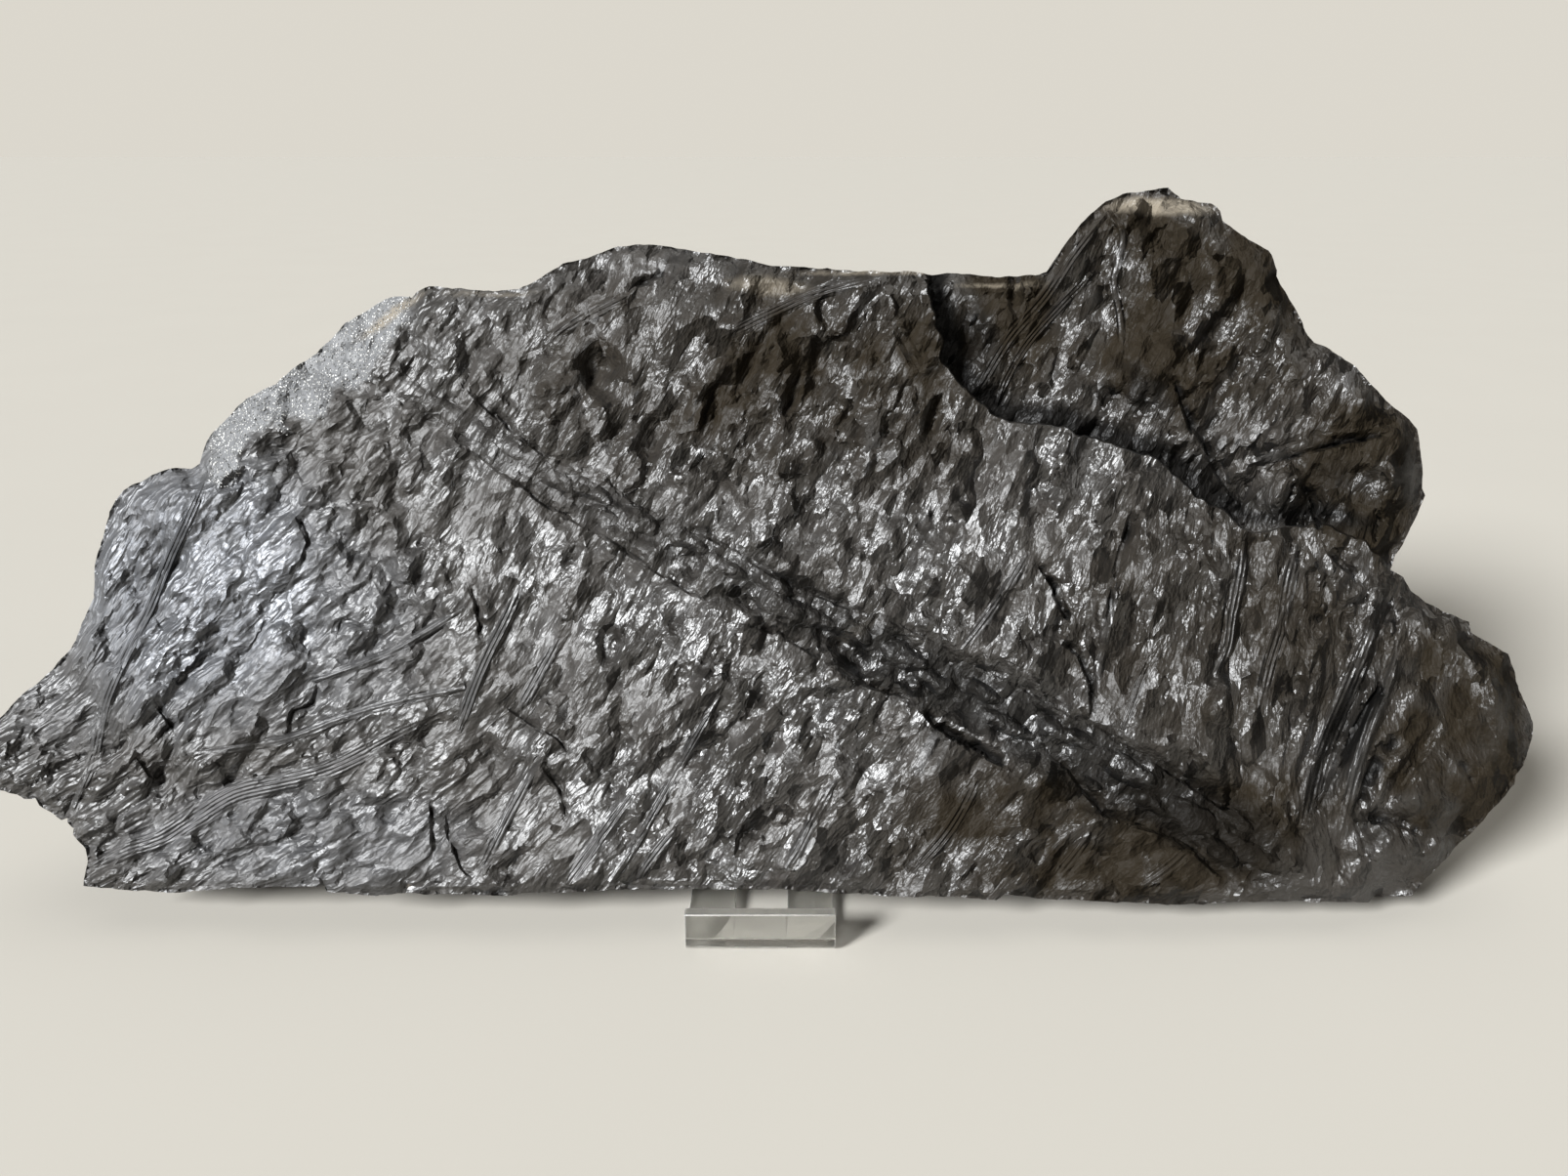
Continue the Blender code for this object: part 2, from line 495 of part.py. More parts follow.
def slab_mesh():
    """The slab as one closed mesh: face, broken sides in layers, rough back."""
    outline = to_mm(OUTLINE)
    ring = resample(np.vstack((outline, outline[:1])), RIM_STEP)[:-1][::-1]
    lines = guide_lines(ring)
    clear_of = np.vstack([ring] + [np.array(line) for line in lines])
    fill = filler(ring, FACE_STEP, clear_of, FACE_STEP * 0.52, 3)
    flat, front = triangulate(ring, lines, fill)
    loop = boundary(front)
    face = face_height(flat)
    flat = spread_from_eye(flat, face)
    verts = [place(flat, face)]
    faces = list(front)
    rim = flat[loop]
    inner = back_ring(rim)
    order = np.arange(len(loop))
    last = np.array(loop)
    total = len(flat)
    for seed, share in enumerate(SIDE_LAYERS, 5):
        layer = rim + (inner - rim) * share
        size = 1 - LAYER_BITE * chance(order // 3, 0, seed) * (1 - over_easel(layer))
        depth = face[loop] * (1 - share) - SLAB_THICKNESS * share
        verts.append(place(drawn_in(layer, size, size), depth))
        ids = total + order
        total += len(loop)
        faces.extend(wall(last, ids))
        last = ids
    behind = filler(inner, BACK_STEP, inner, BACK_STEP * 0.5, 7)
    back_flat, back = triangulate(inner, [], behind)
    back_loop = boundary(back)
    start = int(np.argmin(np.hypot(*(back_flat[back_loop] - inner[0]).T)))
    back_loop = back_loop[start:] + back_loop[:start]
    verts.append(place(back_flat, back_height(back_flat)))
    faces.extend(wall(last, total + np.array(back_loop)))
    faces.extend((total + c, total + b, total + a) for a, b, c in back)
    return np.vstack(verts), faces


def wall(upper, lower):
    """Triangles between two loops of the same length, facing out of an anticlockwise loop."""
    faces = []
    for i in range(len(upper)):
        j = (i + 1) % len(upper)
        faces.append((upper[i], lower[i], lower[j]))
        faces.append((upper[i], lower[j], upper[j]))
    return faces


def bent_line():
    """Middle of the easel's sheet from the lip's top to the top of the back rest, as (depth, height)
    points with rounded bends, and the index where the back rest's uncut top begins."""
    half = SHEET / 2
    rest_front = FOOT_BEHIND_LIP + (SLAB_THICKNESS + CLEARANCE + half) * math.cos(LEAN)
    rest_up = FOOT_HEIGHT - (SLAB_THICKNESS + CLEARANCE + half) * math.sin(LEAN)
    heel = rest_front + (half - rest_up) * math.tan(LEAN)
    corners = [(half, LIP_HEIGHT), (half, half), (heel, half)]
    direction = np.array((math.sin(LEAN), math.cos(LEAN)))
    cut = np.array((heel, half)) + direction * (REST_LENGTH - BRIDGE)
    top = np.array((heel, half)) + direction * REST_LENGTH
    line = [np.array(corners[0])]
    line.extend(rounded(corners[0], corners[1], corners[2]))
    line.append(np.array((SLOT_START, half)))
    line.extend(rounded(corners[1], corners[2], tuple(cut)))
    line.append(cut)
    line.append(top)
    return line


def rounded(before, corner, after, parts=4):
    """A corner as an arc of the bend radius."""
    before, corner, after = (np.array(point, float) for point in (before, corner, after))
    arm_in = (before - corner) / np.hypot(*(before - corner))
    arm_out = (after - corner) / np.hypot(*(after - corner))
    opening = math.acos(float(np.clip(arm_in @ arm_out, -1, 1)))
    reach = BEND_RADIUS / math.tan(opening / 2)
    middle = (arm_in + arm_out) / np.hypot(*(arm_in + arm_out))
    centre = corner + middle * BEND_RADIUS / math.sin(opening / 2)
    start, end = corner + arm_in * reach - centre, corner + arm_out * reach - centre
    turn = math.atan2(start[0] * end[1] - start[1] * end[0], float(start @ end))
    side = np.array((-start[1], start[0]))
    angles = [turn * i / parts for i in range(parts + 1)]
    return [centre + start * math.cos(angle) + side * math.sin(angle) for angle in angles]


def easel_mesh():
    """Middle surface of the bent sheet: lip, ledge, slotted back rest, and the rear leg that is
    cut from the slot and bent back and down."""
    line = bent_line()
    half_slot, half_leg, half = SLOT_WIDTH / 2, LEG_WIDTH / 2, EASEL_WIDTH / 2
    columns = (-half, -half_slot, -half_leg, half_leg, half_slot, half)
    verts = [(EASEL_MIDDLE + x, y, z) for y, z in line for x in columns]
    width = len(columns)
    slot_from = next(i for i, point in enumerate(line) if abs(point[0] - SLOT_START) < 1e-6)
    slot_to = len(line) - 2
    faces = []
    for i in range(len(line) - 1):
        for j in range(width - 1):
            if slot_from <= i < slot_to and 1 <= j <= 3:
                continue
            corner = i * width + j
            faces.append((corner, corner + 1, corner + 1 + width, corner + width))
    hinge, top = line[slot_to], line[-1]
    foot = np.array((LEG_FOOT, SHEET / 2))
    bend = rounded(top, hinge + (hinge - top) * 0.18, foot, parts=5)
    left, right = slot_to * width + 2, slot_to * width + 3
    for point in bend + [foot]:
        verts.extend((EASEL_MIDDLE + x, point[0], point[1]) for x in (-half_leg, half_leg))
        faces.append((right, left, len(verts) - 2, len(verts) - 1))
        left, right = len(verts) - 2, len(verts) - 1
    return np.array(verts), faces


def finish(name, colour, roughness, alpha=1.0, transmission=0.0):
    material = bpy.data.materials.new(name)
    material.use_nodes = True
    shader = material.node_tree.nodes["Principled BSDF"]
    shader.inputs["Base Color"].default_value = (*colour, 1)
    shader.inputs["Roughness"].default_value = roughness
    shader.inputs["Alpha"].default_value = alpha
    shader.inputs["Transmission Weight"].default_value = transmission
    shader.inputs["IOR"].default_value = 1.49
    return material


def add_object(name, verts, faces, material, shift):
    mesh = bpy.data.meshes.new(name)
    mesh.from_pydata(((verts - shift) * 0.001).tolist(), [], [tuple(int(i) for i in face) for face in faces])
    mesh.materials.append(material)
    thing = bpy.data.objects.new(name, mesh)
    bpy.context.scene.collection.objects.link(thing)
    return thing


def main():
    for thing in list(bpy.data.objects):
        bpy.data.objects.remove(thing)
    slab, slab_faces = slab_mesh()
    easel, easel_faces = easel_mesh()
    half = SHEET / 2
    low = np.minimum(slab.min(axis=0), (EASEL_MIDDLE - EASEL_WIDTH / 2, 0, 0))
    high = np.maximum(slab.max(axis=0), (EASEL_MIDDLE, easel[:, 1].max() + half, 0))
    shift = np.array(((low[0] + high[0]) / 2, (low[1] + high[1]) / 2, 0.0))
    shale = finish("coaly_shale", (0.06, 0.058, 0.054), 0.42)
    acrylic = finish("clear_acrylic", (0.93, 0.94, 0.92), 0.08, transmission=1.0)
    add_object("fossil_plate", slab, slab_faces, shale, shift)
    stand = add_object("acrylic_stand", easel, easel_faces, acrylic, shift)
    thickness = stand.modifiers.new("sheet", "SOLIDIFY")
    thickness.thickness = SHEET * 0.001
    thickness.offset = 0
    thickness.use_even_offset = True


main()
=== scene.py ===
# A slab of coaly shale with a fossil lycopsid stem and its leaves, leaning on a small easel
# that is bent from one strip of clear acrylic.

import math

import bpy
import numpy as np
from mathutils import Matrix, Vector, kdtree
from mathutils.geometry import delaunay_2d_cdt


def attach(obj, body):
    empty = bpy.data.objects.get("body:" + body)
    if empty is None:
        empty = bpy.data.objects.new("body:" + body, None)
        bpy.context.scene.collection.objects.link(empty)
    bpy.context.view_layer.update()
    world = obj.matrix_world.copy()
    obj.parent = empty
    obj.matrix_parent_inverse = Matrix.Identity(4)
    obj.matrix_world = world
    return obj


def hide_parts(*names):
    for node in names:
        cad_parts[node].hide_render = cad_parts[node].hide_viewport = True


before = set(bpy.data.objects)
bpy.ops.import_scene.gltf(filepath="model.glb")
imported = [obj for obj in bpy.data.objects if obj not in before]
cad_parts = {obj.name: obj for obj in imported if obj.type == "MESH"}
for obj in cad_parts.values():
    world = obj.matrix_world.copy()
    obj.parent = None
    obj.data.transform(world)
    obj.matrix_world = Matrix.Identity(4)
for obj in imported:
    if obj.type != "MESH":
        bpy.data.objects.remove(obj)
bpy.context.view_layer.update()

# Features are set out on a drawing sheet ruled every quarter of a millimetre: (across, down)
# from its top-left corner. Heights and lengths are millimetres until a mesh is made.

sheet = {
    "grid": 0.25,
    "middleColumn": 770,        # over the slab's middle
    "footRow": 925,             # the slab's lowest point
    "eye": (803, 602),          # the sheet point straight ahead of the eye
    "eyeDistance": 301.5,
    "lean": math.radians(21),
    "footBehindLip": 5.25,
    "footHeight": 11.7,
    "shift": (0.317, 54.25),    # from the front of the easel to the model's origin
}


def toMm(points):
    marks = np.array(points, float)
    across = (marks[:, 0] - sheet["middleColumn"]) * sheet["grid"]
    return np.column_stack((across, (sheet["footRow"] - marks[:, 1]) * sheet["grid"]))


def place(points, height):
    # sheet millimetres and a height on the leaning face, as a place in the room
    cosLean, sinLean = math.cos(sheet["lean"]), math.sin(sheet["lean"])
    depth = sheet["footBehindLip"] + points[:, 1] * sinLean - height * cosLean - sheet["shift"][1]
    rise = sheet["footHeight"] + points[:, 1] * cosLean + height * sinLean
    return np.column_stack((points[:, 0] - sheet["shift"][0], depth, rise))


def spreadFromEye(points, height):
    middle = toMm([sheet["eye"]])[0]
    return middle + (points - middle) * (1 - np.asarray(height) / sheet["eyeDistance"])[:, None]


def chance(column, row, seed):
    mixed = np.sin(column * 127.1 + row * 311.7 + seed * 74.7) * 43758.5453
    return mixed - np.floor(mixed)


def smoothStep(value):
    value = np.clip(value, 0, 1)
    return value * value * (3 - 2 * value)


def turned(points, angle):
    # the part of each point along a direction, and the part across it
    run, cross = math.cos(angle), math.sin(angle)
    return points[:, 0] * run + points[:, 1] * cross, points[:, 1] * run - points[:, 0] * cross


def softNoise(points, size, seed):
    # smooth noise from -0.5 to 0.5
    column, row = np.floor(points[:, 0] / size), np.floor(points[:, 1] / size)
    x, y = smoothStep(points[:, 0] / size - column), smoothStep(points[:, 1] / size - row)
    low = chance(column, row, seed) * (1 - x) + chance(column + 1, row, seed) * x
    high = chance(column, row + 1, seed) * (1 - x) + chance(column + 1, row + 1, seed) * x
    return low * (1 - y) + high * y - 0.5


def warped(points, size, reach, seed):
    return points + 2 * reach * np.column_stack(
        (softNoise(points, size, seed), softNoise(points, size, seed + 1)))


def waves(points, layers):
    return sum(reach * softNoise(points, size, seed) for size, reach, seed in layers)


def cells(points, size, stretch, angle, seed, inset):
    # the nine nearest cells of a jittered grid laid along an angle: how far each point is from
    # the cell's middle, along and across, and the cell's own three chances from -0.5 to 0.5
    along, across = turned(points, angle)
    along, across = along / (size * stretch), across / size
    column, row = np.floor(along), np.floor(across)
    room = 1 - 2 * inset
    for cell, line in ((column + i, row + j) for i in (-1, 0, 1) for j in (-1, 0, 1)):
        jitterAlong, jitterAcross, *draws = (chance(cell, line, seed + i) for i in range(5))
        offAlong = along - cell - inset - room * jitterAlong
        offAcross = across - line - inset - room * jitterAcross
        yield offAlong, offAcross, [draw - 0.5 for draw in draws]


def plates(points, size, stretch, angle, height, seed, softness=0.45):
    # overlapping flakes of rock, each at its own height and tilt, with eased edges
    gaps, levels = [], []
    for along, across, draws in cells(points, size, stretch, angle, seed, 0.15):
        gaps.append(np.sqrt(along ** 2 + across ** 2))
        levels.append(draws[2] + along * draws[0] + across * draws[1] * 1.6)
    gaps, levels = np.array(gaps), np.array(levels)
    order = np.argsort(gaps, axis=0)[:2]
    near, second = np.take_along_axis(gaps, order, 0)
    level, other = np.take_along_axis(levels, order, 0)
    share = 0.5 + 0.5 * smoothStep((second - near) / softness)
    return (level * share + other * (1 - share)) * height


def hackle(points, size, stretch, angle, height, seed, curve=0.62):
    # continuous chipped surface: rounded lumps with sharp valleys between them
    top = np.full(len(points), -9.0)
    for along, across, draws in cells(points, size, stretch, angle, seed, 0.1):
        lump = draws[0] * 0.35 + (along * draws[1] + across * draws[2]) * 1.2
        top = np.maximum(top, lump - curve * (along ** 2 + across ** 2))
    return top * height


def resample(points, step):
    out = []
    for start, end in zip(points[:-1], points[1:]):
        count = max(1, round(float(np.hypot(*(end - start))) / step))
        out.extend(start + (end - start) * i / count for i in range(count))
    out.append(points[-1])
    return np.array(out)


def lineFrame(points, line):
    # how far each point is from a line, the share of the line before it, and which side it is on
    nearest = np.full(len(points), np.inf)
    along, side = np.zeros(len(points)), np.ones(len(points))
    travelled = 0.0
    for start, end in zip(line[:-1], line[1:]):
        run = end - start
        length = float(np.hypot(*run))
        offset = points - start
        share = np.clip(offset @ run / length ** 2, 0, 1)
        away = np.hypot(*(offset - share[:, None] * run).T)
        closer = away < nearest
        nearest[closer] = away[closer]
        along[closer] = travelled + share[closer] * length
        side[closer] = np.sign(run[0] * offset[closer, 1] - run[1] * offset[closer, 0])
        travelled += length
    return nearest, along / travelled, side


def distanceToLine(points, line):
    return lineFrame(points, line)[:2]


def smoothLine(points, step):
    # a rounded line through the points, about a step between its own
    line = toMm(points)
    if len(line) < 3:
        return resample(line, step)
    ahead = np.vstack((line[1:], 2 * line[-1] - line[-2]))
    before = np.vstack((2 * line[0] - line[1], line[:-1]))
    slope = (ahead - before) / 2
    out = []
    for i in range(len(line) - 1):
        count = max(1, round(float(np.hypot(*(line[i + 1] - line[i]))) / step))
        t = (np.arange(count) / count)[:, None]
        out.append((2 * t ** 3 - 3 * t ** 2 + 1) * line[i] + (t ** 3 - 2 * t ** 2 + t) * slope[i]
                   + (3 * t ** 2 - 2 * t ** 3) * line[i + 1] + (t ** 3 - t ** 2) * slope[i + 1])
    out.append(line[-1:])
    return np.vstack(out)


def beside(line, gap):
    along = np.gradient(line, axis=0)
    return line + np.column_stack((-along[:, 1], along[:, 0])) / np.hypot(*along.T)[:, None] * gap


def inside(points, ring):
    crossings = np.zeros(len(points), int)
    for start, end in zip(ring, np.roll(ring, -1, axis=0)):
        spans = (start[1] > points[:, 1]) != (end[1] > points[:, 1])
        rise = end[1] - start[1] if end[1] != start[1] else 1.0
        meets = start[0] + (points[:, 1] - start[1]) / rise * (end[0] - start[0])
        crossings += spans & (points[:, 0] < meets)
    return crossings % 2 == 1


slab = {
    "thickness": 31.0,
    "grain": math.radians(60),   # run of the leaves and of the rock's flakes, up to the right
    "faceStep": 0.92,            # between the mesh's points on the face
    "rimStep": 1.15,
    "sharpFrom": 20,             # degrees between neighbouring faces
    "rimLayers": (0.03, 0.09, 0.16, 0.24, 0.32, 0.4, 0.49, 0.58, 0.67, 0.76, 0.85, 0.93),
    "backStep": 2.7,
    "ledgeRun": 0.5,
    "spotReach": 13.0,
    "grainFrom": (-216.0, -12.0),
    "grainTo": (216.0, 196.0),
    "grainStep": 2.0,
    "middleUp": 75.0,            # where the back and the sides draw in towards
    "backSize": (0.975, 0.95),
    "backRough": (3.2, 0.6, 9.0),   # added to the back's relief, and its least and most
    "heelReach": 34.0,
    # swirls that bend the lines of the relief: size, reach and seed
    "blockSwirl": (7.0, 0.9, 61),
    "stemSwirl": (3.2, 0.8, 67),
    "chipSwirl": (4.0, 0.9, 65),
    "creaseSwirl": (3.4, 0.5, 300),
    "backSwirl": (6.0, 1.0, 55),
    # waves of the broken edges: size, reach and seed
    "outlineWaves": ((3.1, 0.5, 71), (1.3, 0.4, 73)),
    "ledgeWaves": ((4.0, 1.5, 351), (1.7, 0.9, 353)),
    "marginWaves": ((7.0, 0.45, 95), (2.2, 0.25, 97)),
}

outline = (
    (-30, 778), (-22, 760), (18, 718), (58, 683), (76, 660), (97, 612), (98, 582), (115, 520),
    (127, 503), (165, 484), (180, 480), (197, 481), (205, 475), (211, 456), (217, 446), (250, 413),
    (258, 406), (283, 394), (300, 378), (325, 363), (355, 332), (395, 307), (405, 304), (422, 306),
    (427, 300), (440, 294), (505, 299), (532, 297), (556, 285), (577, 271), (600, 266), (625, 256),
    (655, 251), (683, 253), (800, 274), (880, 279), (935, 279), (955, 283), (980, 281),
    (1020, 285), (1065, 283), (1073, 280), (1114, 222), (1134, 208), (1155, 199), (1196, 194),
    (1209, 205), (1240, 210), (1249, 217), (1252, 226), (1270, 242), (1298, 258), (1304, 266),
    (1307, 277), (1306, 283), (1328, 323), (1336, 340), (1345, 352), (1357, 356), (1385, 375),
    (1425, 417), (1443, 430), (1450, 440), (1457, 485), (1456, 500), (1459, 507), (1437, 556),
    (1428, 566), (1424, 583), (1436, 592), (1444, 605), (1460, 618), (1503, 638), (1505, 648),
    (1544, 670), (1558, 716), (1569, 740), (1568, 757), (1559, 783), (1551, 792), (1549, 802),
    (1534, 821), (1444, 916), (1406, 917), (1401, 923), (1320, 921), (1200, 925), (1060, 918),
    (1045, 915), (1028, 915), (1020, 921), (980, 916), (940, 917), (800, 909), (640, 909),
    (520, 915), (420, 913), (385, 916), (335, 912), (333, 906), (240, 907), (180, 912), (140, 911),
    (87, 906), (92, 882), (90, 868), (76, 854), (77, 848), (71, 841), (71, 834), (63, 838),
    (42, 823), (37, 816), (25, 817), (18, 812), (-16, 802), (-28, 790),
)

# foot of the cliff round the sunken upper right, then out past the outline
ledge = (
    (946, 270), (950, 300), (957, 320), (962, 345), (966, 370), (975, 385), (985, 397),
    (1000, 410), (1015, 422), (1040, 432), (1085, 440), (1135, 455), (1185, 468), (1212, 492),
    (1225, 508), (1245, 520), (1262, 528), (1283, 548), (1320, 540), (1345, 538), (1385, 548),
    (1400, 560), (1424, 583),
)
sunkenSide = ((1480, 583), (1480, 160), (946, 160))

# (across, down, height)
mainSpots = (
    (0, 770, -4.0), (110, 560, -3.0), (110, 860, -2.0), (200, 520, 0.5), (220, 700, 1.5),
    (180, 895, -3.5), (300, 640, 1.0), (290, 860, -0.5), (290, 470, 0.0), (400, 560, 1.0),
    (400, 700, -1.0), (400, 860, -1.0), (420, 340, -2.0), (500, 340, -0.5), (520, 560, 0.5),
    (520, 680, 0.5), (500, 800, -0.5), (600, 310, 0.0), (620, 620, 1.0), (600, 740, 0.5),
    (620, 880, 0.0), (700, 330, 1.0), (720, 480, 0.0), (700, 700, 0.5), (760, 840, 0.5),
    (800, 300, 0.5), (820, 400, 1.0), (800, 520, 0.5), (840, 720, 1.0), (900, 340, 1.5),
    (920, 460, 2.0), (960, 560, 1.5), (900, 860, 0.0), (1000, 860, -0.5), (1050, 520, 1.0),
    (1060, 660, 0.0), (1150, 560, 0.5), (1160, 680, 0.0), (1120, 890, -1.0), (1240, 600, 0.5),
    (1240, 700, 0.0), (1300, 900, -1.0), (1340, 640, 0.5), (1330, 780, -1.0), (1440, 640, -2.0),
    (1450, 780, 0.5), (1530, 740, -3.0), (1480, 860, -2.0),
)
sunkenSpots = (
    (970, 340, -9.0), (1010, 400, -7.5), (1050, 320, -7.0), (1100, 260, -5.0), (1090, 400, -5.5),
    (1140, 440, -5.0), (1180, 230, -3.5), (1180, 330, -6.5), (1190, 410, -3.5), (1230, 250, -3.0),
    (1250, 460, -6.5), (1280, 520, -9.0), (1290, 300, -6.0), (1280, 400, -3.5), (1340, 420, -2.0),
    (1340, 470, -3.0), (1340, 520, -7.5), (1410, 450, -2.5), (1410, 540, -7.0), (1440, 500, -6.0),
)

# pressed stem: its middle line with its half width and depth, and the cushions that overlap
# along it, each (across, down, half length, half width, height)
stem = (
    (398, 388, 20, 0.6), (440, 412, 22, 0.9), (490, 442, 24, 1.1), (545, 480, 26, 1.2),
    (600, 512, 28, 1.3), (660, 540, 30, 1.3), (720, 570, 32, 1.4), (790, 608, 34, 1.7),
    (870, 648, 36, 2.4), (950, 692, 40, 3.0), (1030, 733, 42, 3.3), (1110, 772, 44, 3.1),
    (1190, 815, 46, 2.8), (1270, 862, 46, 2.2), (1340, 900, 44, 1.4),
)
cushions = (
    (412, 394, 34, 11, 0.9), (470, 430, 46, 12, 1.2), (532, 462, 46, 10, 1.3),
    (566, 490, 26, 9, 1.0), (606, 503, 26, 9, 1.6), (650, 532, 28, 13, 1.9),
    (618, 530, 18, 10, 1.2), (702, 552, 26, 9, 1.6), (742, 580, 26, 9, 1.9),
    (792, 598, 24, 11, 2.3), (800, 622, 38, 13, 2.2), (848, 604, 22, 9, 2.0),
    (838, 634, 22, 9, 1.9), (872, 648, 24, 12, 2.8), (914, 642, 26, 8, 2.2),
    (925, 672, 26, 12, 2.4), (960, 700, 28, 10, 2.2), (1000, 706, 28, 10, 2.4),
    (1035, 690, 28, 11, 2.4), (1030, 742, 34, 10, 2.4), (1075, 722, 26, 10, 2.2),
    (1092, 750, 36, 10, 2.6), (1150, 786, 40, 14, 2.6), (1170, 762, 30, 8, 2.0),
    (1218, 836, 34, 15, 3.2), (1180, 822, 26, 9, 2.0), (1245, 868, 30, 10, 2.2),
    (1288, 878, 34, 12, 2.0), (1262, 838, 28, 8, 1.8), (990, 672, 24, 7, 1.6),
    (1110, 800, 22, 8, 1.8),
)

# leaves and ridges: half width, height and number of ribs, then the line they follow
leaves = (
    (1.8, 1.0, 4, (213, 480), (200, 515), (175, 570), (155, 620), (140, 650), (110, 715),
     (95, 780), (72, 832)),
    (3.4, 0.6, 7, (95, 885), (130, 870), (165, 858), (200, 836), (240, 812), (290, 800),
     (330, 790), (365, 775), (395, 758), (425, 743)),
    (1.4, 1.1, 2, (322, 697), (360, 684), (400, 668), (440, 645), (476, 622)),
    (1.4, 0.7, 2, (200, 772), (290, 757), (345, 737), (400, 720), (476, 704)),
    (2.0, 1.1, 4, (533, 600), (520, 630), (500, 670), (485, 705), (470, 747)),
    (1.8, 1.0, 3, (571, 655), (555, 685), (531, 728)),
    (1.5, 1.4, 3, (736, 715), (715, 750), (690, 795), (670, 830), (650, 865), (625, 903)),
    (1.8, 1.0, 3, (548, 785), (525, 825), (510, 855), (491, 893)),
    (2.4, 1.2, 5, (645, 815), (620, 850), (595, 885), (581, 904)),
    (1.5, 1.0, 3, (690, 851), (670, 875), (654, 898)),
    (1.8, 1.0, 3, (855, 800), (835, 835), (820, 865), (805, 889)),
    (2.2, 0.9, 5, (740, 345), (780, 325), (830, 302), (870, 290), (900, 284)),
    (2.0, 1.2, 4, (1130, 222), (1100, 260), (1070, 305), (1035, 345), (1010, 385), (998, 405)),
    (1.6, 1.0, 4, (1118, 280), (1080, 320), (1050, 355), (1030, 390), (1022, 412)),
    (1.1, 1.2, 1, (1137, 216), (1150, 240), (1145, 270), (1141, 285), (1143, 300), (1148, 330),
     (1148, 367)),
    (1.6, 1.2, 3, (1052, 568), (1030, 605), (1005, 640), (985, 665)),
    (1.9, 1.3, 3, (1275, 556), (1270, 590), (1262, 630), (1257, 662), (1245, 690)),
    (2.4, 1.3, 4, (1328, 560), (1318, 600), (1312, 640), (1300, 680), (1290, 722)),
    (1.4, 1.1, 1, (1146, 596), (1135, 630), (1129, 665), (1122, 710)),
    (1.6, 1.2, 3, (1192, 652), (1172, 688), (1160, 720), (1150, 745)),
    (3.0, 2.2, 5, (1410, 630), (1396, 668), (1376, 715), (1352, 775), (1336, 845)),
    (2.2, 1.6, 3, (1432, 660), (1420, 700), (1402, 745), (1388, 790), (1374, 850)),
    (2.2, 1.2, 4, (1000, 800), (985, 830), (965, 860), (935, 893)),
    (1.9, 1.0, 3, (1115, 855), (1100, 875), (1078, 902)),
    (2.2, 1.1, 3, (1220, 868), (1195, 890), (1172, 906)),
    (1.8, 1.5, 1, (1280, 475), (1340, 455), (1380, 447), (1420, 440)),
    (1.9, 1.6, 3, (560, 352), (578, 337), (600, 324), (640, 304)),
    (1.8, 1.2, 1, (960, 748), (948, 772), (936, 796)),
)

# cracks and creases: half width and depth, then the line they follow
creases = (
    (1.3, 1.5, (465, 385), (500, 420), (540, 455), (565, 470), (620, 490), (650, 515), (690, 532)),
    (1.3, 1.3, (690, 532), (745, 560), (790, 588), (830, 610), (880, 626), (930, 642), (975, 672)),
    (1.5, 1.8, (975, 672), (1040, 700), (1115, 742), (1165, 770), (1200, 792), (1260, 832),
     (1330, 866)),
    (1.3, 1.7, (440, 440), (490, 465), (520, 490), (560, 518), (610, 545), (680, 590), (740, 628)),
    (1.4, 1.6, (740, 632), (800, 650), (840, 674), (885, 700), (940, 722)),
    (1.8, 4.2, (940, 722), (960, 745), (1000, 770), (1035, 786)),
    (1.6, 3.4, (1058, 760), (1095, 788), (1112, 812), (1135, 838), (1190, 852), (1225, 874),
     (1262, 908)),
    (0.9, 1.6, (155, 715), (165, 730), (180, 750)),
    (0.9, 1.6, (140, 775), (150, 790), (157, 800)),
    (1.1, 1.7, (300, 525), (310, 540), (315, 556), (308, 575), (305, 584)),
    (1.0, 1.5, (398, 633), (365, 640), (350, 634), (344, 655)),
    (1.0, 1.7, (478, 598), (488, 620), (491, 655)),
    (1.0, 1.6, (515, 722), (545, 742), (570, 755), (583, 772)),
    (1.0, 1.6, (325, 700), (320, 720), (300, 726), (294, 755)),
    (1.0, 1.7, (440, 820), (444, 850), (443, 878)),
    (1.0, 2.0, (456, 830), (462, 862), (472, 888), (486, 904)),
    (1.1, 1.9, (555, 785), (572, 806), (578, 842)),
    (1.4, 3.0, (1060, 577), (1075, 600), (1096, 640)),
    (1.6, 3.0, (1085, 655), (1105, 670), (1117, 700), (1119, 742)),
    (1.4, 2.8, (1160, 520), (1148, 560), (1138, 600), (1134, 640)),
    (1.7, 4.0, (1200, 380), (1220, 440), (1250, 490), (1268, 516)),
    (1.4, 2.4, (1357, 562), (1380, 585), (1400, 606)),
    (1.2, 1.8, (1338, 642), (1370, 625), (1410, 612)),
    (3.2, 4.4, (1420, 690), (1400, 722), (1385, 748), (1370, 786), (1360, 810), (1342, 842)),
    (3.0, 4.0, (1452, 732), (1412, 764), (1396, 800), (1386, 832)),
    (1.5, 2.4, (1492, 775), (1503, 798), (1512, 818)),
    (2.0, 3.4, (1392, 838), (1440, 846), (1456, 856)),
    (1.3, 3.0, (1327, 490), (1316, 512), (1300, 540)),
    (1.5, 3.2, (1329, 490), (1342, 516), (1352, 548)),
    (1.5, 2.6, (1300, 478), (1340, 462), (1385, 452), (1425, 444)),
    (1.3, 2.2, (640, 305), (655, 292), (680, 285), (686, 268), (691, 258)),
)

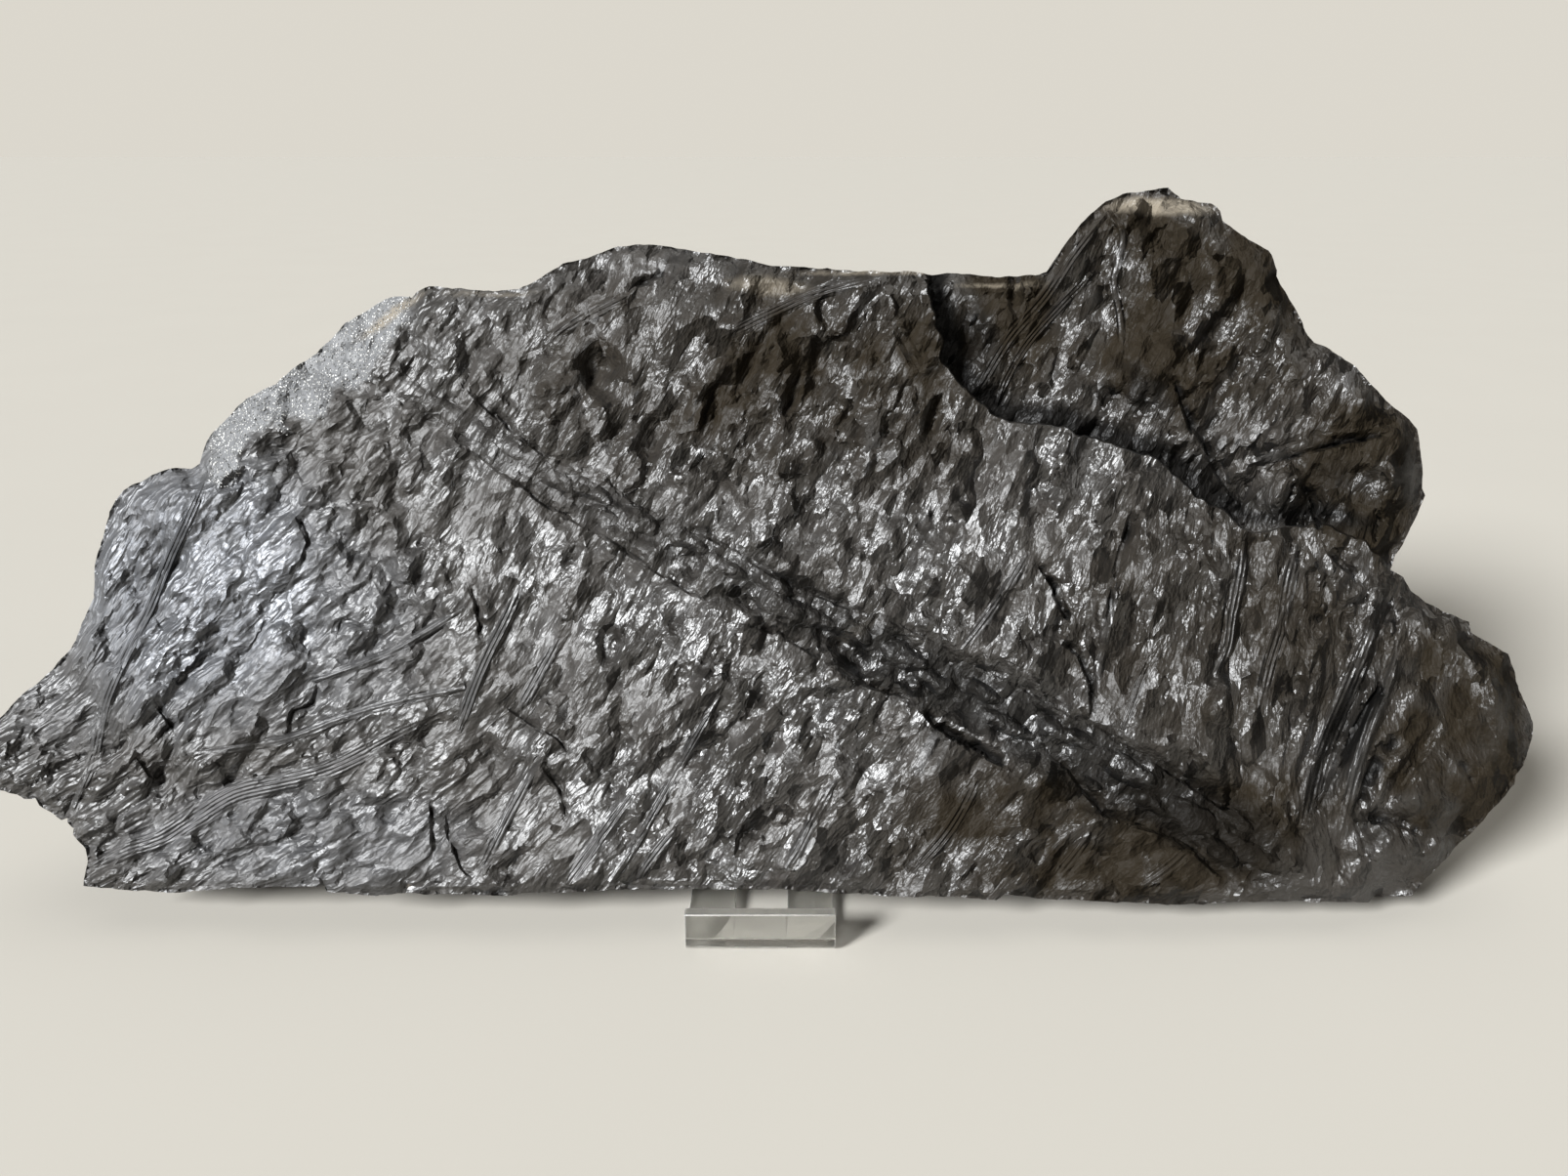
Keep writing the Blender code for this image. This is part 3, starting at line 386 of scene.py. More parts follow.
# hollows and bosses: (across, down, half width, half height, turn in degrees, height)
spreads = (
    (618, 382, 22, 34, -20, -2.6), (664, 448, 20, 24, 0, -2.4), (727, 432, 9, 40, 14, -2.6),
    (812, 402, 8, 28, 20, -2.6), (958, 428, 12, 28, 20, -3.2), (930, 355, 7, 25, -25, -2.2),
    (624, 660, 12, 22, 0, -2.0), (870, 668, 15, 26, -40, -3.4), (1041, 306, 8, 28, 0, -3.0),
    (172, 576, 20, 22, 40, -1.3), (222, 640, 20, 24, 0, -1.2), (240, 492, 18, 8, -35, -2.8),
    (290, 560, 34, 44, 25, 1.6), (690, 330, 40, 46, 10, 1.4), (795, 860, 34, 30, 0, 0.8),
    (1040, 470, 22, 40, 20, 1.6), (1110, 520, 44, 34, 0, 1.2), (1240, 560, 30, 34, 0, 1.6),
    (1225, 540, 20, 18, 0, 1.4), (1300, 600, 24, 60, 8, 1.4), (1250, 720, 26, 26, 20, 2.2),
    (1450, 800, 54, 34, -20, 2.2), (1460, 690, 40, 40, 0, 1.6), (1520, 710, 26, 50, -10, 1.4),
    (1410, 865, 34, 24, -30, 2.0), (860, 690, 26, 18, 30, 1.8), (850, 560, 30, 20, -30, 1.4),
    (1168, 398, 34, 16, 15, 2.2), (1218, 440, 16, 44, 25, 2.6), (1318, 505, 18, 26, 20, 3.6),
    (1345, 520, 10, 24, 20, -2.0), (1270, 500, 16, 14, 0, -2.2), (1185, 470, 34, 10, -20, -1.6),
    (1245, 345, 14, 40, 35, -1.8), (1300, 330, 20, 50, 10, 1.6), (1180, 260, 16, 40, -10, 1.2),
    (1366, 765, 11, 88, 22, -4.2), (1402, 745, 9, 84, 24, 3.2), (1332, 755, 10, 84, 18, 2.4),
    (1440, 790, 9, 60, 34, -2.6), (1365, 505, 56, 36, 0, -0.8), (490, 395, 22, 16, -30, 1.8),
    (560, 385, 26, 22, -20, 2.0), (1215, 230, 34, 20, 0, 1.6),
)

# sloping margin inside the outline: its width and its fall at the sheet's columns
topMargin = ((-30, 5.0), (110, 3.0), (205, 8.0), (300, 13.0), (380, 15.0), (430, 6.0), (560, 4.0),
             (940, 3.5), (1100, 4.0), (1250, 5.0), (1440, 5.0), (1570, 7.0))
bottomMargin = ((-30, 4.0), (90, 2.0), (1000, 2.0), (1400, 4.0), (1450, 7.0), (1570, 7.0))
topFall = ((-30, 4.0), (110, 3.0), (205, 6.0), (300, 9.0), (400, 8.0), (430, 4.0), (560, 3.0),
           (940, 2.6), (1250, 3.5), (1440, 4.5), (1570, 6.0))
bottomFall = ((-30, 3.0), (90, 1.6), (1000, 1.6), (1400, 3.0), (1450, 5.0), (1570, 6.0))
halfway = ((-30, 36), (100, 52), (900, 80), (1150, 90), (1570, 45))   # up, between the margins

# which way the rock's fine grain runs: (across, down, degrees up to the right, reach)
grainSpots = (
    (40, 740, 30, 60), (110, 560, 72, 60), (110, 700, 62, 50), (200, 600, 45, 70),
    (180, 860, 25, 60), (300, 560, 35, 70), (300, 700, 18, 80), (300, 860, 25, 80),
    (420, 560, 40, 70), (440, 700, 25, 70), (420, 800, 30, 60), (480, 870, 55, 60),
    (400, 460, 40, 60), (500, 350, 55, 70), (560, 420, 40, 60), (560, 620, 60, 80),
    (600, 740, 60, 80), (640, 860, 62, 80), (680, 360, 62, 80), (760, 480, 60, 80),
    (760, 700, 62, 80), (800, 860, 58, 80), (860, 340, 55, 80), (920, 460, 65, 80),
    (1000, 560, 62, 80), (960, 860, 52, 80), (1060, 340, 55, 80), (1100, 520, 62, 80),
    (1120, 640, 70, 80), (1200, 320, 78, 80), (1230, 600, 75, 80), (1240, 720, 66, 70),
    (1300, 440, 40, 80), (1340, 640, 72, 80), (1200, 900, 40, 60), (1450, 700, 110, 60),
    (1480, 820, 125, 60), (1420, 500, 80, 60),
)


def rimRing(step):
    marks = toMm(outline)
    return resample(np.vstack((marks, marks[:1])), step)[:-1][::-1]


def raggedRing():
    # the outline again, nibbled by a few tenths of a millimetre
    ring = rimRing(slab["rimStep"])
    inward = -beside(np.vstack((ring, ring[:2])), -1.0)[:-2] + ring
    nibble = np.clip(0.35 + waves(ring, slab["outlineWaves"]), 0, 1)
    return ring - inward * nibble[:, None]


def blended(points, spots, reach):
    # a value for each point from the spots' own, the nearest weighing most
    places = toMm([spot[:2] for spot in spots])
    values = np.array([spot[2] for spot in spots])
    gaps = np.hypot(*(points[:, None] - places).transpose(2, 0, 1)) / reach
    weights = np.exp(-gaps ** 2) + 1e-6 / (1 + gaps)
    return weights @ values / weights.sum(axis=1)


def grainAngle(points):
    reach = np.array([spot[3] for spot in grainSpots]) * sheet["grid"]
    return np.radians(blended(points, grainSpots, reach)) + 0.2 * softNoise(points, 26, 81)


def surfaceOfSlopes(across, up):
    # the sheet of heights on a grid whose slopes come nearest to these, each grid step apart
    fall = np.zeros(across.shape)
    middle = (across[:, 1:] + across[:, :-1]) / 2
    fall[:, :-1] += middle
    fall[:, 1:] -= middle
    middle = (up[1:] + up[:-1]) / 2
    fall[:-1] += middle
    fall[1:] -= middle
    rows, columns = fall.shape
    folded = np.block([[fall, fall[:, ::-1]], [fall[::-1], fall[::-1, ::-1]]])
    pull = (2 * np.cos(math.pi * np.arange(2 * rows) / rows) - 2)[:, None]
    pull = pull + 2 * np.cos(math.pi * np.arange(2 * columns) / columns) - 2
    pull[0, 0] = 1
    return np.fft.ifft2(np.fft.fft2(folded) / pull).real[:rows, :columns]


def makeGrainMap():
    # how far along and how far across the grain each place on a grid is
    low, high, step = slab["grainFrom"], slab["grainTo"], slab["grainStep"]
    x, y = np.arange(low[0], high[0], step), np.arange(low[1], high[1], step)
    angle = grainAngle(np.array([(a, b) for b in y for a in x])).reshape(len(y), len(x))
    along = surfaceOfSlopes(np.cos(angle), np.sin(angle)) * step
    across = surfaceOfSlopes(-np.sin(angle), np.cos(angle)) * step
    return along, across


def alongGrain(points):
    # each point's place along and across the grain
    spot = (points - slab["grainFrom"]) / slab["grainStep"]
    rows, columns = grainMap[0].shape
    column = np.clip(spot[:, 0].astype(int), 0, columns - 2)
    row = np.clip(spot[:, 1].astype(int), 0, rows - 2)
    x, y = np.clip(spot[:, 0] - column, 0, 1), np.clip(spot[:, 1] - row, 0, 1)
    return np.column_stack([
        (grid[row, column] * (1 - x) + grid[row, column + 1] * x) * (1 - y)
        + (grid[row + 1, column] * (1 - x) + grid[row + 1, column + 1] * x) * y
        for grid in grainMap])


grainMap = makeGrainMap()


def stemLine():
    return toMm([point[:2] for point in stem])


def stemHeading(across, down):
    line = stemLine()
    station = distanceToLine(toMm([(across, down)]), line)[1][0]
    stations = distanceToLine(line, line)[1]
    ahead, behind = (
        np.array([np.interp(station + shift, stations, line[:, axis]) for axis in (0, 1)])
        for shift in (0.01, -0.01)
    )
    return (ahead - behind) / np.hypot(*(ahead - behind))


def stemRelief(points):
    line = stemLine()
    away, along = distanceToLine(points, line)
    stations = distanceToLine(line, line)[1]
    half = np.interp(along, stations, [point[2] * sheet["grid"] for point in stem])
    half = half * (1 + 0.5 * softNoise(points, 6.0, 33))
    trough = 1 - smoothStep((away / half - 0.35) / 0.8)
    ends = smoothStep(along / 0.05) * smoothStep((1 - along) / 0.06)
    deep = np.interp(along, stations, [point[3] for point in stem])
    height = -deep * trough * ends
    onCushion = np.zeros(len(points))
    for across, down, length, width, rise in cushions:
        offset = points - toMm([(across, down)])[0]
        heading = stemHeading(across, down)
        lengthwise = (offset @ heading) / (length * sheet["grid"])
        sideways = (offset @ (-heading[1], heading[0])) / (width * sheet["grid"])
        dome = np.clip(1 - lengthwise ** 2 - sideways ** 2, 0, 1) ** 0.7
        ribs = 0.05 * np.cos(sideways * 9 + across) * dome
        scale = dome * (1 + 0.45 * lengthwise) + ribs
        height = np.maximum(height, -deep + rise * scale)
        onCushion = np.maximum(onCushion, dome)
    # the second value marks the trough for painted shade, darker where it is deeper
    return height, trough * ends * np.clip(deep / 2.6, 0, 1), onCushion


def nearLine(points, line, reach):
    low, high = line.min(axis=0) - reach, line.max(axis=0) + reach
    return np.flatnonzero(((points > low) & (points < high)).all(axis=1))


def leafRelief(points):
    # height of the leaves, how much of a leaf each point is on, and where it is in the leaf's ribs
    height, onLeaf, ribPhase = np.zeros((3, len(points)))
    for half, rise, ribs, *line in leaves:
        line = smoothLine(line, 2.0)
        near = nearLine(points, line, half * 1.4)
        away, along, side = lineFrame(points[near], line)
        taper = smoothStep(along / 0.2) * smoothStep((1 - along) / 0.2)
        width = half * (0.45 + 0.55 * taper) * (1 + 0.25 * softNoise(points[near], 5.0, 43))
        over = (1 - smoothStep((away / width - 0.5) / 0.5)) * (0.5 + 0.5 * taper)
        over = over * smoothStep(1.1 + 2.2 * softNoise(points[near], 6.0, 47))
        phase = math.pi * ribs * away * side / half
        ribbed = 0.12 * np.cos(phase) * (ribs > 1) * smoothStep((1 - away / width) * 3)
        height[near] = np.maximum(height[near], 0.7 * rise * (over + ribbed))
        nearer = over > onLeaf[near]
        onLeaf[near] = np.maximum(onLeaf[near], over)
        ribPhase[near[nearer]] = phase[nearer]
    return height, onLeaf, ribPhase


def creaseRelief(points):
    # a sharp drop on one side of the line, easing back to the face further off
    depth = np.zeros(len(points))
    for number, (half, drop, *line) in enumerate(creases):
        line = toMm(line)
        near = nearLine(points, line, half * 3)
        away, along, side = lineFrame(warped(points[near], *slab["creaseSwirl"]), line)
        uneven = 0.75 + 1.1 * softNoise(np.column_stack((along * 9, along)), 1.0, 320 + number)
        ends = smoothStep(along / 0.16) * smoothStep((1 - along) / 0.16) * uneven
        gap = np.where(side < 0, away / 0.35, np.maximum(away / half - 0.2, 0) / 1.7)
        depth[near] = np.maximum(depth[near], 0.8 * drop * ends * (1 - smoothStep(gap)))
    return depth


def spread(points, item):
    across, down, halfWidth, halfHeight, turn, height = item
    offset = points - toMm([(across, down)])[0]
    turn = math.radians(turn)
    sideways = offset[:, 0] * math.cos(turn) - offset[:, 1] * math.sin(turn)
    upwards = offset[:, 0] * math.sin(turn) + offset[:, 1] * math.cos(turn)
    reach = np.hypot(sideways / (halfWidth * sheet["grid"]), upwards / (halfHeight * sheet["grid"]))
    return height * (1 - smoothStep((reach - 0.45) / 0.8))


def marginFall(points):
    ring = toMm(outline)
    away = distanceToLine(points, np.vstack((ring, ring[:1])))[0]
    column = points[:, 0] / sheet["grid"] + sheet["middleColumn"]
    top = smoothStep((points[:, 1] - np.interp(column, *zip(*halfway))) / 20 + 0.5)
    width, fall = (
        np.interp(column, *zip(*upper)) * top + np.interp(column, *zip(*lower)) * (1 - top)
        for upper, lower in ((topMargin, bottomMargin), (topFall, bottomFall)))
    bevel = top * smoothStep((column - 200) / 30) * smoothStep((432 - column) / 24)
    frayed = away / width - 0.72 - waves(points, slab["marginWaves"])
    bevel = bevel * (1 - smoothStep(frayed / 0.12))
    return fall * (1 - np.clip(away / width, 0, 1)) ** 1.25, bevel


# finish of the face by zones, some of them painted shade or painted sheen: (across, down, half
# width, half height, turn in degrees, amount)
zones = {
    "tan": (
        (392, 317, 44, 7, -33, 0.9), (1195, 204, 58, 11, 3, 1.0), (875, 648, 24, 8, -30, 0.4),
        (415, 911, 3, 3, 0, 1.0), (785, 293, 44, 10, 4, 0.55), (900, 278, 90, 2.5, 0, 0.6),
        (1030, 283, 50, 2.5, 0, 0.6), (500, 298, 60, 3, 2, 0.4),
    ),
    "sheen": (
        (465, 778, 26, 26, 0, 1.0), (650, 535, 26, 12, -30, 1.0), (1245, 718, 24, 18, 0, 1.0),
        (1200, 680, 14, 30, -15, 0.8), (1222, 528, 20, 26, 0, 0.8), (1335, 580, 14, 34, 10, 0.9),
        (130, 520, 40, 40, 0, 0.5), (60, 680, 40, 50, -40, 0.6), (290, 560, 40, 50, 0, 0.4),
    ),
    "smooth": (
        (290, 560, 36, 46, 25, 0.9), (405, 870, 22, 14, 0, 0.8), (460, 815, 24, 18, 0, 0.8),
        (365, 698, 40, 10, 10, 0.8), (490, 800, 12, 22, 0, 0.7), (652, 605, 16, 8, 0, 0.8),
        (755, 630, 14, 12, 0, 0.8), (748, 818, 12, 22, 0, 0.8), (802, 690, 16, 34, 10, 0.8),
        (990, 830, 90, 46, 0, 0.75), (1125, 510, 38, 32, 0, 0.8), (1210, 495, 32, 18, 0, 0.7),
        (1025, 540, 28, 24, 0, 0.7), (1230, 600, 18, 18, 0, 0.8), (695, 335, 54, 58, 15, 0.9),
        (1450, 790, 90, 110, -20, 0.6), (1140, 770, 66, 24, -28, 0.8),
        (1230, 845, 36, 24, -28, 0.9), (470, 430, 40, 14, -30, 0.8), (1385, 755, 56, 96, 22, 0.9),
    ),
    "crumpled": (
        (1175, 410, 46, 36, 0, 1.0), (1225, 460, 40, 44, 0, 1.0), (1300, 515, 50, 28, 0, 1.0),
        (1040, 430, 50, 18, -20, 0.7), (450, 360, 60, 40, 0, 0.6), (1390, 600, 50, 40, 0, 0.8),
        (1440, 860, 60, 40, 0, 0.8),
    ),
    # gloom: painted shade, darkening crumpled and folded places as if shaded
    "gloom": (
        (1150, 400, 60, 30, 15, 0.8), (1232, 462, 22, 56, 25, 0.9), (1290, 520, 44, 22, 0, 0.7),
        (1000, 350, 26, 60, -15, 0.8), (1365, 505, 60, 40, 0, 0.4), (1372, 760, 22, 96, 22, 0.8),
        (1425, 850, 50, 24, 0, 0.6), (1410, 640, 14, 40, 25, 0.5),
    ),
    # brownAndShade: the right end's own matt brown, and painted shade: duller and darker where the
    # light falls off to the right
    "brownAndShade": (
        (1500, 770, 110, 170, 0, 1.0), (1230, 310, 190, 150, 0, 0.95),
        (1400, 490, 90, 110, 0, 1.0), (1150, 850, 280, 90, 0, 0.95),
        (1280, 640, 230, 160, 0, 0.5), (1040, 330, 80, 90, 0, 0.9), (850, 380, 230, 130, 0, 0.75),
        (630, 390, 130, 110, 0, 0.45),
    ),
    # silverSheen: the left part's silvery metallic lustre, with a lighter colour that is painted
    # sheen where the window light falls
    "silverSheen": (
        (200, 600, 170, 150, 0, 1.0), (60, 700, 90, 80, 0, 0.25), (330, 640, 120, 110, 0, 0.35),
        (300, 860, 200, 60, 0, 0.4),
    ),
}


def zone(points, name):
    return np.max([spread(points, item) for item in zones[name]], axis=0)


def ledgeLine():
    line = resample(toMm(ledge), 1.1)
    return line + (beside(line, 1.0) - line) * waves(line, slab["ledgeWaves"])[:, None]


# flakes, chips and folds of the break: across, length to width, height in millimetres
relief = {
    "block": {"size": 13, "stretch": 1.7, "height": 1.9, "seed": 11, "softness": 0.25},
    "smallBlock": {"size": 6, "stretch": 1.6, "height": 0.8, "seed": 23, "softness": 0.35},
    "chip": {"size": 7.5, "stretch": 1.4, "height": 3.2, "seed": 101},
    "smallChip": {"size": 4.4, "stretch": 1.5, "height": 2.2, "seed": 111},
    "flake": {"size": 2.4, "stretch": 1.7, "height": 1.1, "seed": 121},
    "fold": {"size": 4.2, "stretch": 3.8, "height": 2.4, "seed": 141},
    "backBlock": {"size": 21, "stretch": 1.4, "height": 5.0, "seed": 41, "softness": 0.2},
    "smallBackBlock": {"size": 11, "stretch": 1.3, "height": 1.6, "seed": 53},
    "backChip": {"size": 6.5, "stretch": 1.5, "height": 1.3, "seed": 57},
}


def faceRelief(points):
    # height of the face, with what the finish needs to know of each point
    foot = ledgeLine()
    away = distanceToLine(points, foot)[0]
    sunken = inside(points, np.vstack((foot, toMm(sunkenSide))))
    drop = smoothStep(np.where(sunken, away, 0) / slab["ledgeRun"])
    upper, lower = (blended(points, spots, slab["spotReach"]) for spots in (mainSpots, sunkenSpots))
    height = upper * (1 - drop) + lower * drop
    loose = warped(points, *slab["blockSwirl"])
    calm = smoothStep((-40 - points[:, 0]) / 70)
    for kind in ("block", "smallBlock"):
        blocks = plates(loose, angle=slab["grain"], **relief[kind])
        height = height + blocks * (1 - 0.1 * calm)
    stemHeight, trough, onCushion = stemRelief(warped(points, *slab["stemSwirl"]))
    height = height + stemHeight * (1 - drop)
    leafHeight, onLeaf, ribPhase = leafRelief(points)
    crack = creaseRelief(points)
    height = height + leafHeight - crack
    for item in spreads:
        height = height + spread(points, item)
    smooth = zone(points, "smooth")
    rough = (1 - 0.65 * np.maximum(onLeaf, 0.8 * onCushion * (1 - drop))) * (1 - 0.7 * smooth)
    rough = rough * (1 + 1.1 * softNoise(points, 17, 91))
    rough = rough * (1 + 0.9 * zone(points, "crumpled") + 0.3 * drop)
    loose = alongGrain(warped(points, *slab["chipSwirl"]))
    chips, smallChips, fine, folds = (
        hackle(loose, angle=0, **relief[kind]) for kind in ("chip", "smallChip", "flake", "fold"))
    chips = chips - smallChips
    height = height + (chips * (1 + 0.2 * calm) + fine * (1 + 0.4 * calm) + folds * calm) * rough
    fall, bevel = marginFall(points)
    # painted shadow: the sunken floor at the cliff's foot is darkened as if in the cliff's shadow,
    # and creases are darkened as painted shade
    cliffShadow = drop * (1 - smoothStep((away - 3.5) / 5.0)) * smoothStep((points[:, 1] - 92) / 8)
    hollow = np.maximum(cliffShadow, smoothStep((crack - 0.6) / 1.6))
    # painted shade: the gloom zones darken crumpled and folded places as if shaded
    gloom = zone(points, "gloom") * smoothStep(0.75 + 1.4 * softNoise(points, 4.5, 131))
    hollow = np.maximum(hollow, 0.85 * gloom)
    return height - fall, {
        "sand": bevel,
        "hollow": hollow,
        # painted shade in the stem's trough
        "trough": trough * (1 - drop),
        "leaf": onLeaf,
        "ribPhase": ribPhase,
        "smooth": np.maximum(smooth, 0.6 * onCushion * (1 - drop)),
        "soft": smoothStep(-points[:, 0] / 110),
    }


def guideLines():
    lines = []
    for half, _, ribs, *line in leaves:
        line = smoothLine(line, 1.6)
        rows = 4 if ribs > 1 else 2
        lines.extend(beside(line, half * i / rows) for i in range(-rows, rows + 1))
    for half, _, *line in creases:
        line = resample(toMm(line), 1.1)
        lines.extend(beside(line, half * i / 2) if i else line for i in range(-2, 3))
    foot = ledgeLine()
    lines.extend((foot, beside(foot, slab["ledgeRun"]), beside(foot, slab["ledgeRun"] / 2)))
    for across, down, length, width, _ in cushions:
        centre, heading = toMm([(across, down)])[0], stemHeading(across, down)
        side = np.array((-heading[1], heading[0]))
        turns = np.linspace(0, 2 * math.pi, 33)[:, None]
        rim = (heading * np.cos(turns) * length + side * np.sin(turns) * width) * sheet["grid"]
        lines.extend((centre + rim * 1.02, centre + rim * 0.93))
    return lines


def filler(ring, step, clearOf, gap, seed):
    low, high = ring.min(axis=0), ring.max(axis=0)
    rows, columns = (int(span / step * 1.2) + 2 for span in (high - low)[::-1])
    row, column = np.meshgrid(np.arange(rows), np.arange(columns), indexing="ij")
    row, column = row.ravel(), column.ravel()
    jitter = np.column_stack((chance(column, row, seed), chance(column, row, seed + 1))) - 0.5
    points = low + np.column_stack(((column + 0.5 * (row % 2)) * step, row * step * 0.866))
    points = points + jitter * 0.42 * step
    points = points[inside(points, ring)]
    tree = kdtree.KDTree(len(clearOf))
    for i, point in enumerate(clearOf):
        tree.insert((point[0], point[1], 0), i)
    tree.balance()
    return points[[tree.find((x, y, 0))[2] > gap for x, y in points]]


def triangulate(ring, lines, fill):
    points, edges = [Vector(point) for point in ring], []
    for line in lines:
        first = len(points)
        points.extend(Vector(point) for point in line)
        edges.extend((first + i, first + i + 1) for i in range(len(line) - 1))
    points.extend(Vector(point) for point in fill)
    flat, _, faces, *_ = delaunay_2d_cdt(points, edges, [list(range(len(ring)))], 1, 1e-4)
    return np.array([tuple(point) for point in flat]), np.array([tuple(face) for face in faces])


def boundary(faces):
    edges = {(a, b) for face in faces.tolist() for a, b in zip(face, face[1:] + face[:1])}
    following = {a: b for a, b in edges if (b, a) not in edges}
    loop = [min(following)]
    while following[loop[-1]] != loop[0]:
        loop.append(following[loop[-1]])
    return np.array(loop)


def clippedLines(lines):
    # what lies inside the outline, clear of its edge
    ring = toMm(outline)
    every = np.vstack(lines)
    clear = inside(every, ring) & (distanceToLine(every, np.vstack((ring, ring[:1])))[0] > 1.4)
    kept = []
    for line in lines:
        good, clear = clear[:len(line)], clear[len(line):]
        starts = np.flatnonzero(np.diff(np.concatenate(([0], good, [0]))))
        kept.extend(line[a:b] for a, b in zip(starts[::2], starts[1::2]) if b - a > 1)
    return kept


def drawnIn(points, across, up):
    middle = slab["middleUp"]
    return np.column_stack((points[:, 0] * across, middle + (points[:, 1] - middle) * up))


def overEasel(points):
    return 1 / (1 + ((points[:, 0] - easel["middle"]) / slab["heelReach"]) ** 6)


def backRing(ring):
    # a little smaller than the face, with a flat heel that stands on the easel
    squeezed = drawnIn(ring, *slab["backSize"])
    heel = overEasel(ring) * (ring[:, 1] < 40)
    lean = sheet["lean"]
    rest = easel["sheet"] + easel["clearance"] - sheet["footHeight"]
    rest = rest + slab["thickness"] * math.sin(lean)
    squeezed[:, 1] += heel * (rest / math.cos(lean) + 0.05 - squeezed[:, 1])
    return squeezed


def backHeight(points):
    grain = slab["grain"]
    rough = sum(
        plates(points, angle=grain, **relief[kind]) for kind in ("backBlock", "smallBackBlock"))
    stirred = warped(points, *slab["backSwirl"])
    rough = rough + hackle(stirred, angle=grain, **relief["backChip"])
    added, least, most = slab["backRough"]
    depth = -slab["thickness"] + np.clip(rough + added, least, most)
    near = 1 - smoothStep((np.abs(points[:, 0] - easel["middle"]) - easel["width"] / 2 - 2) / 10)
    near = near * (1 - smoothStep((points[:, 1] - easel["restLength"] - 4) / 10))
    return depth * (1 - near) - slab["thickness"] * near


easel = {
    "sheet": 3.0,
    "width": 38.2,
    "middle": 2.2,
    "lipHeight": 12.0,
    "slotWidth": 14.0,
    "slotStart": 12.0,
    "legWidth": 13.0,
    "restLength": 84.0,
    "bridge": 9.0,
    "legFoot": 107.0,
    "bendRadius": 2.3,
    "bendSteps": 8,
    "clearance": 0.3,
    "edge": 0.45,         # how far the cut edges are eased, and in how many steps
    "edgeSteps": 3,
    "edgeFrom": 50,       # degrees between faces that are eased, and that stay sharp
    "sharpFrom": 35,
}


def wall(upper, lower):
    nextUpper, nextLower = np.roll(upper, -1), np.roll(lower, -1)
    halves = (upper, lower, nextLower), (upper, nextLower, nextUpper)
    return np.vstack([np.column_stack(half) for half in halves])


def slabMesh():
    ring = raggedRing()
    lines = clippedLines(guideLines())
    clearOf = np.vstack([ring] + lines)
    fill = filler(ring, slab["faceStep"], clearOf, slab["faceStep"] * 0.5, 3)
    flat, front = triangulate(ring, lines, fill)
    loop = boundary(front)
    face, seen = faceRelief(flat)
    flat = spreadFromEye(flat, face)
    verts, faces = [place(flat, face)], [front]
    laid = [np.column_stack((alongGrain(flat), face))]
    rim = flat[loop]
    inner = backRing(rim)
    count = len(loop)
    last, total = loop, len(flat)
    walked = np.cumsum(np.hypot(*(rim - np.roll(rim, 1, axis=0)).T))
    walk = np.column_stack((walked, np.zeros(count)))
    for layer, share in enumerate(slab["rimLayers"]):
        mid = rim + (inner - rim) * share
        bite = 0.5 + softNoise(walk, 9, 200 + layer // 2) + 0.6 * softNoise(walk, 2.6, 210 + layer)
        bite = np.clip(bite, 0, 1) * (1 - overEasel(mid)) * min(1.0, share * 8)
        size = 1 - 0.016 * bite
        depth = face[loop] * (1 - share) - slab["thickness"] * share
        depth = depth + 0.5 * softNoise(walk, 3.5, 230 + layer) * (1 - overEasel(mid))
        verts.append(place(drawnIn(mid, size, size), depth))
        laid.append(np.column_stack((alongGrain(mid), depth)))
        ids = total + np.arange(count)
        total += count
        faces.append(wall(last, ids))
        last = ids
    behind = filler(inner, slab["backStep"], inner, slab["backStep"] * 0.5, 7)
    backFlat, back = triangulate(inner, [], behind)
    backLoop = boundary(back)
    start = int(np.argmin(np.hypot(*(backFlat[backLoop] - inner[0]).T)))
    backLoop = np.roll(backLoop, -start)
    depth = backHeight(backFlat)
    verts.append(place(backFlat, depth))
    laid.append(np.column_stack((alongGrain(backFlat), depth)))
    faces.append(wall(last, total + backLoop))
    faces.append(total + back[:, ::-1])
    verts, faces = np.vstack(verts), np.vstack(faces)
    seen.update(flat=flat, laid=np.vstack(laid), faces=len(front))
    return verts, faces, seen


def meshObject(name, verts, faces):
    mesh = bpy.data.meshes.new(name)
    mesh.from_pydata((verts * 0.001).tolist(), [], faces.tolist())
    mesh.validate()
    thing = bpy.data.objects.new(name, mesh)
    bpy.context.scene.collection.objects.link(thing)
    return thing


def setAttribute(mesh, name, values, domain="POINT"):
    # numbers or vectors for the mesh's first points or faces, the rest being nought
    kind, key = ("FLOAT", "value") if np.ndim(values) == 1 else ("FLOAT_VECTOR", "vector")
    marks = mesh.attributes.new(name, kind, domain).data
    filled = np.zeros((len(marks), *np.shape(values)[1:]), np.float32)
    filled[:len(values)] = values
    marks.foreach_set(key, filled.ravel())


def applyModifiers(thing):
    graph = bpy.context.evaluated_depsgraph_get()
    graph.update()
    finished = bpy.data.meshes.new_from_object(thing.evaluated_get(graph))
    thing.modifiers.clear()
    thing.data = finished
    return finished


print("slab: meshing")
slabVerts, slabFaces, seen = slabMesh()
fossilSlab = meshObject("fossilSlab", slabVerts, slabFaces)
fossilSlab.data.shade_smooth()
fossilSlab.data.set_sharp_from_angle(angle=math.radians(slab["sharpFrom"]))
setAttribute(fossilSlab.data, "laid", seen["laid"] * 0.001)
for name in ("tan", "sheen", "brownAndShade", "silverSheen"):
    setAttribute(fossilSlab.data, name, zone(seen["flat"], name))
for name in ("sand", "trough", "hollow", "leaf", "ribPhase", "smooth", "soft"):
    setAttribute(fossilSlab.data, name, seen[name])
print("slab:", len(fossilSlab.data.polygons), "triangles")


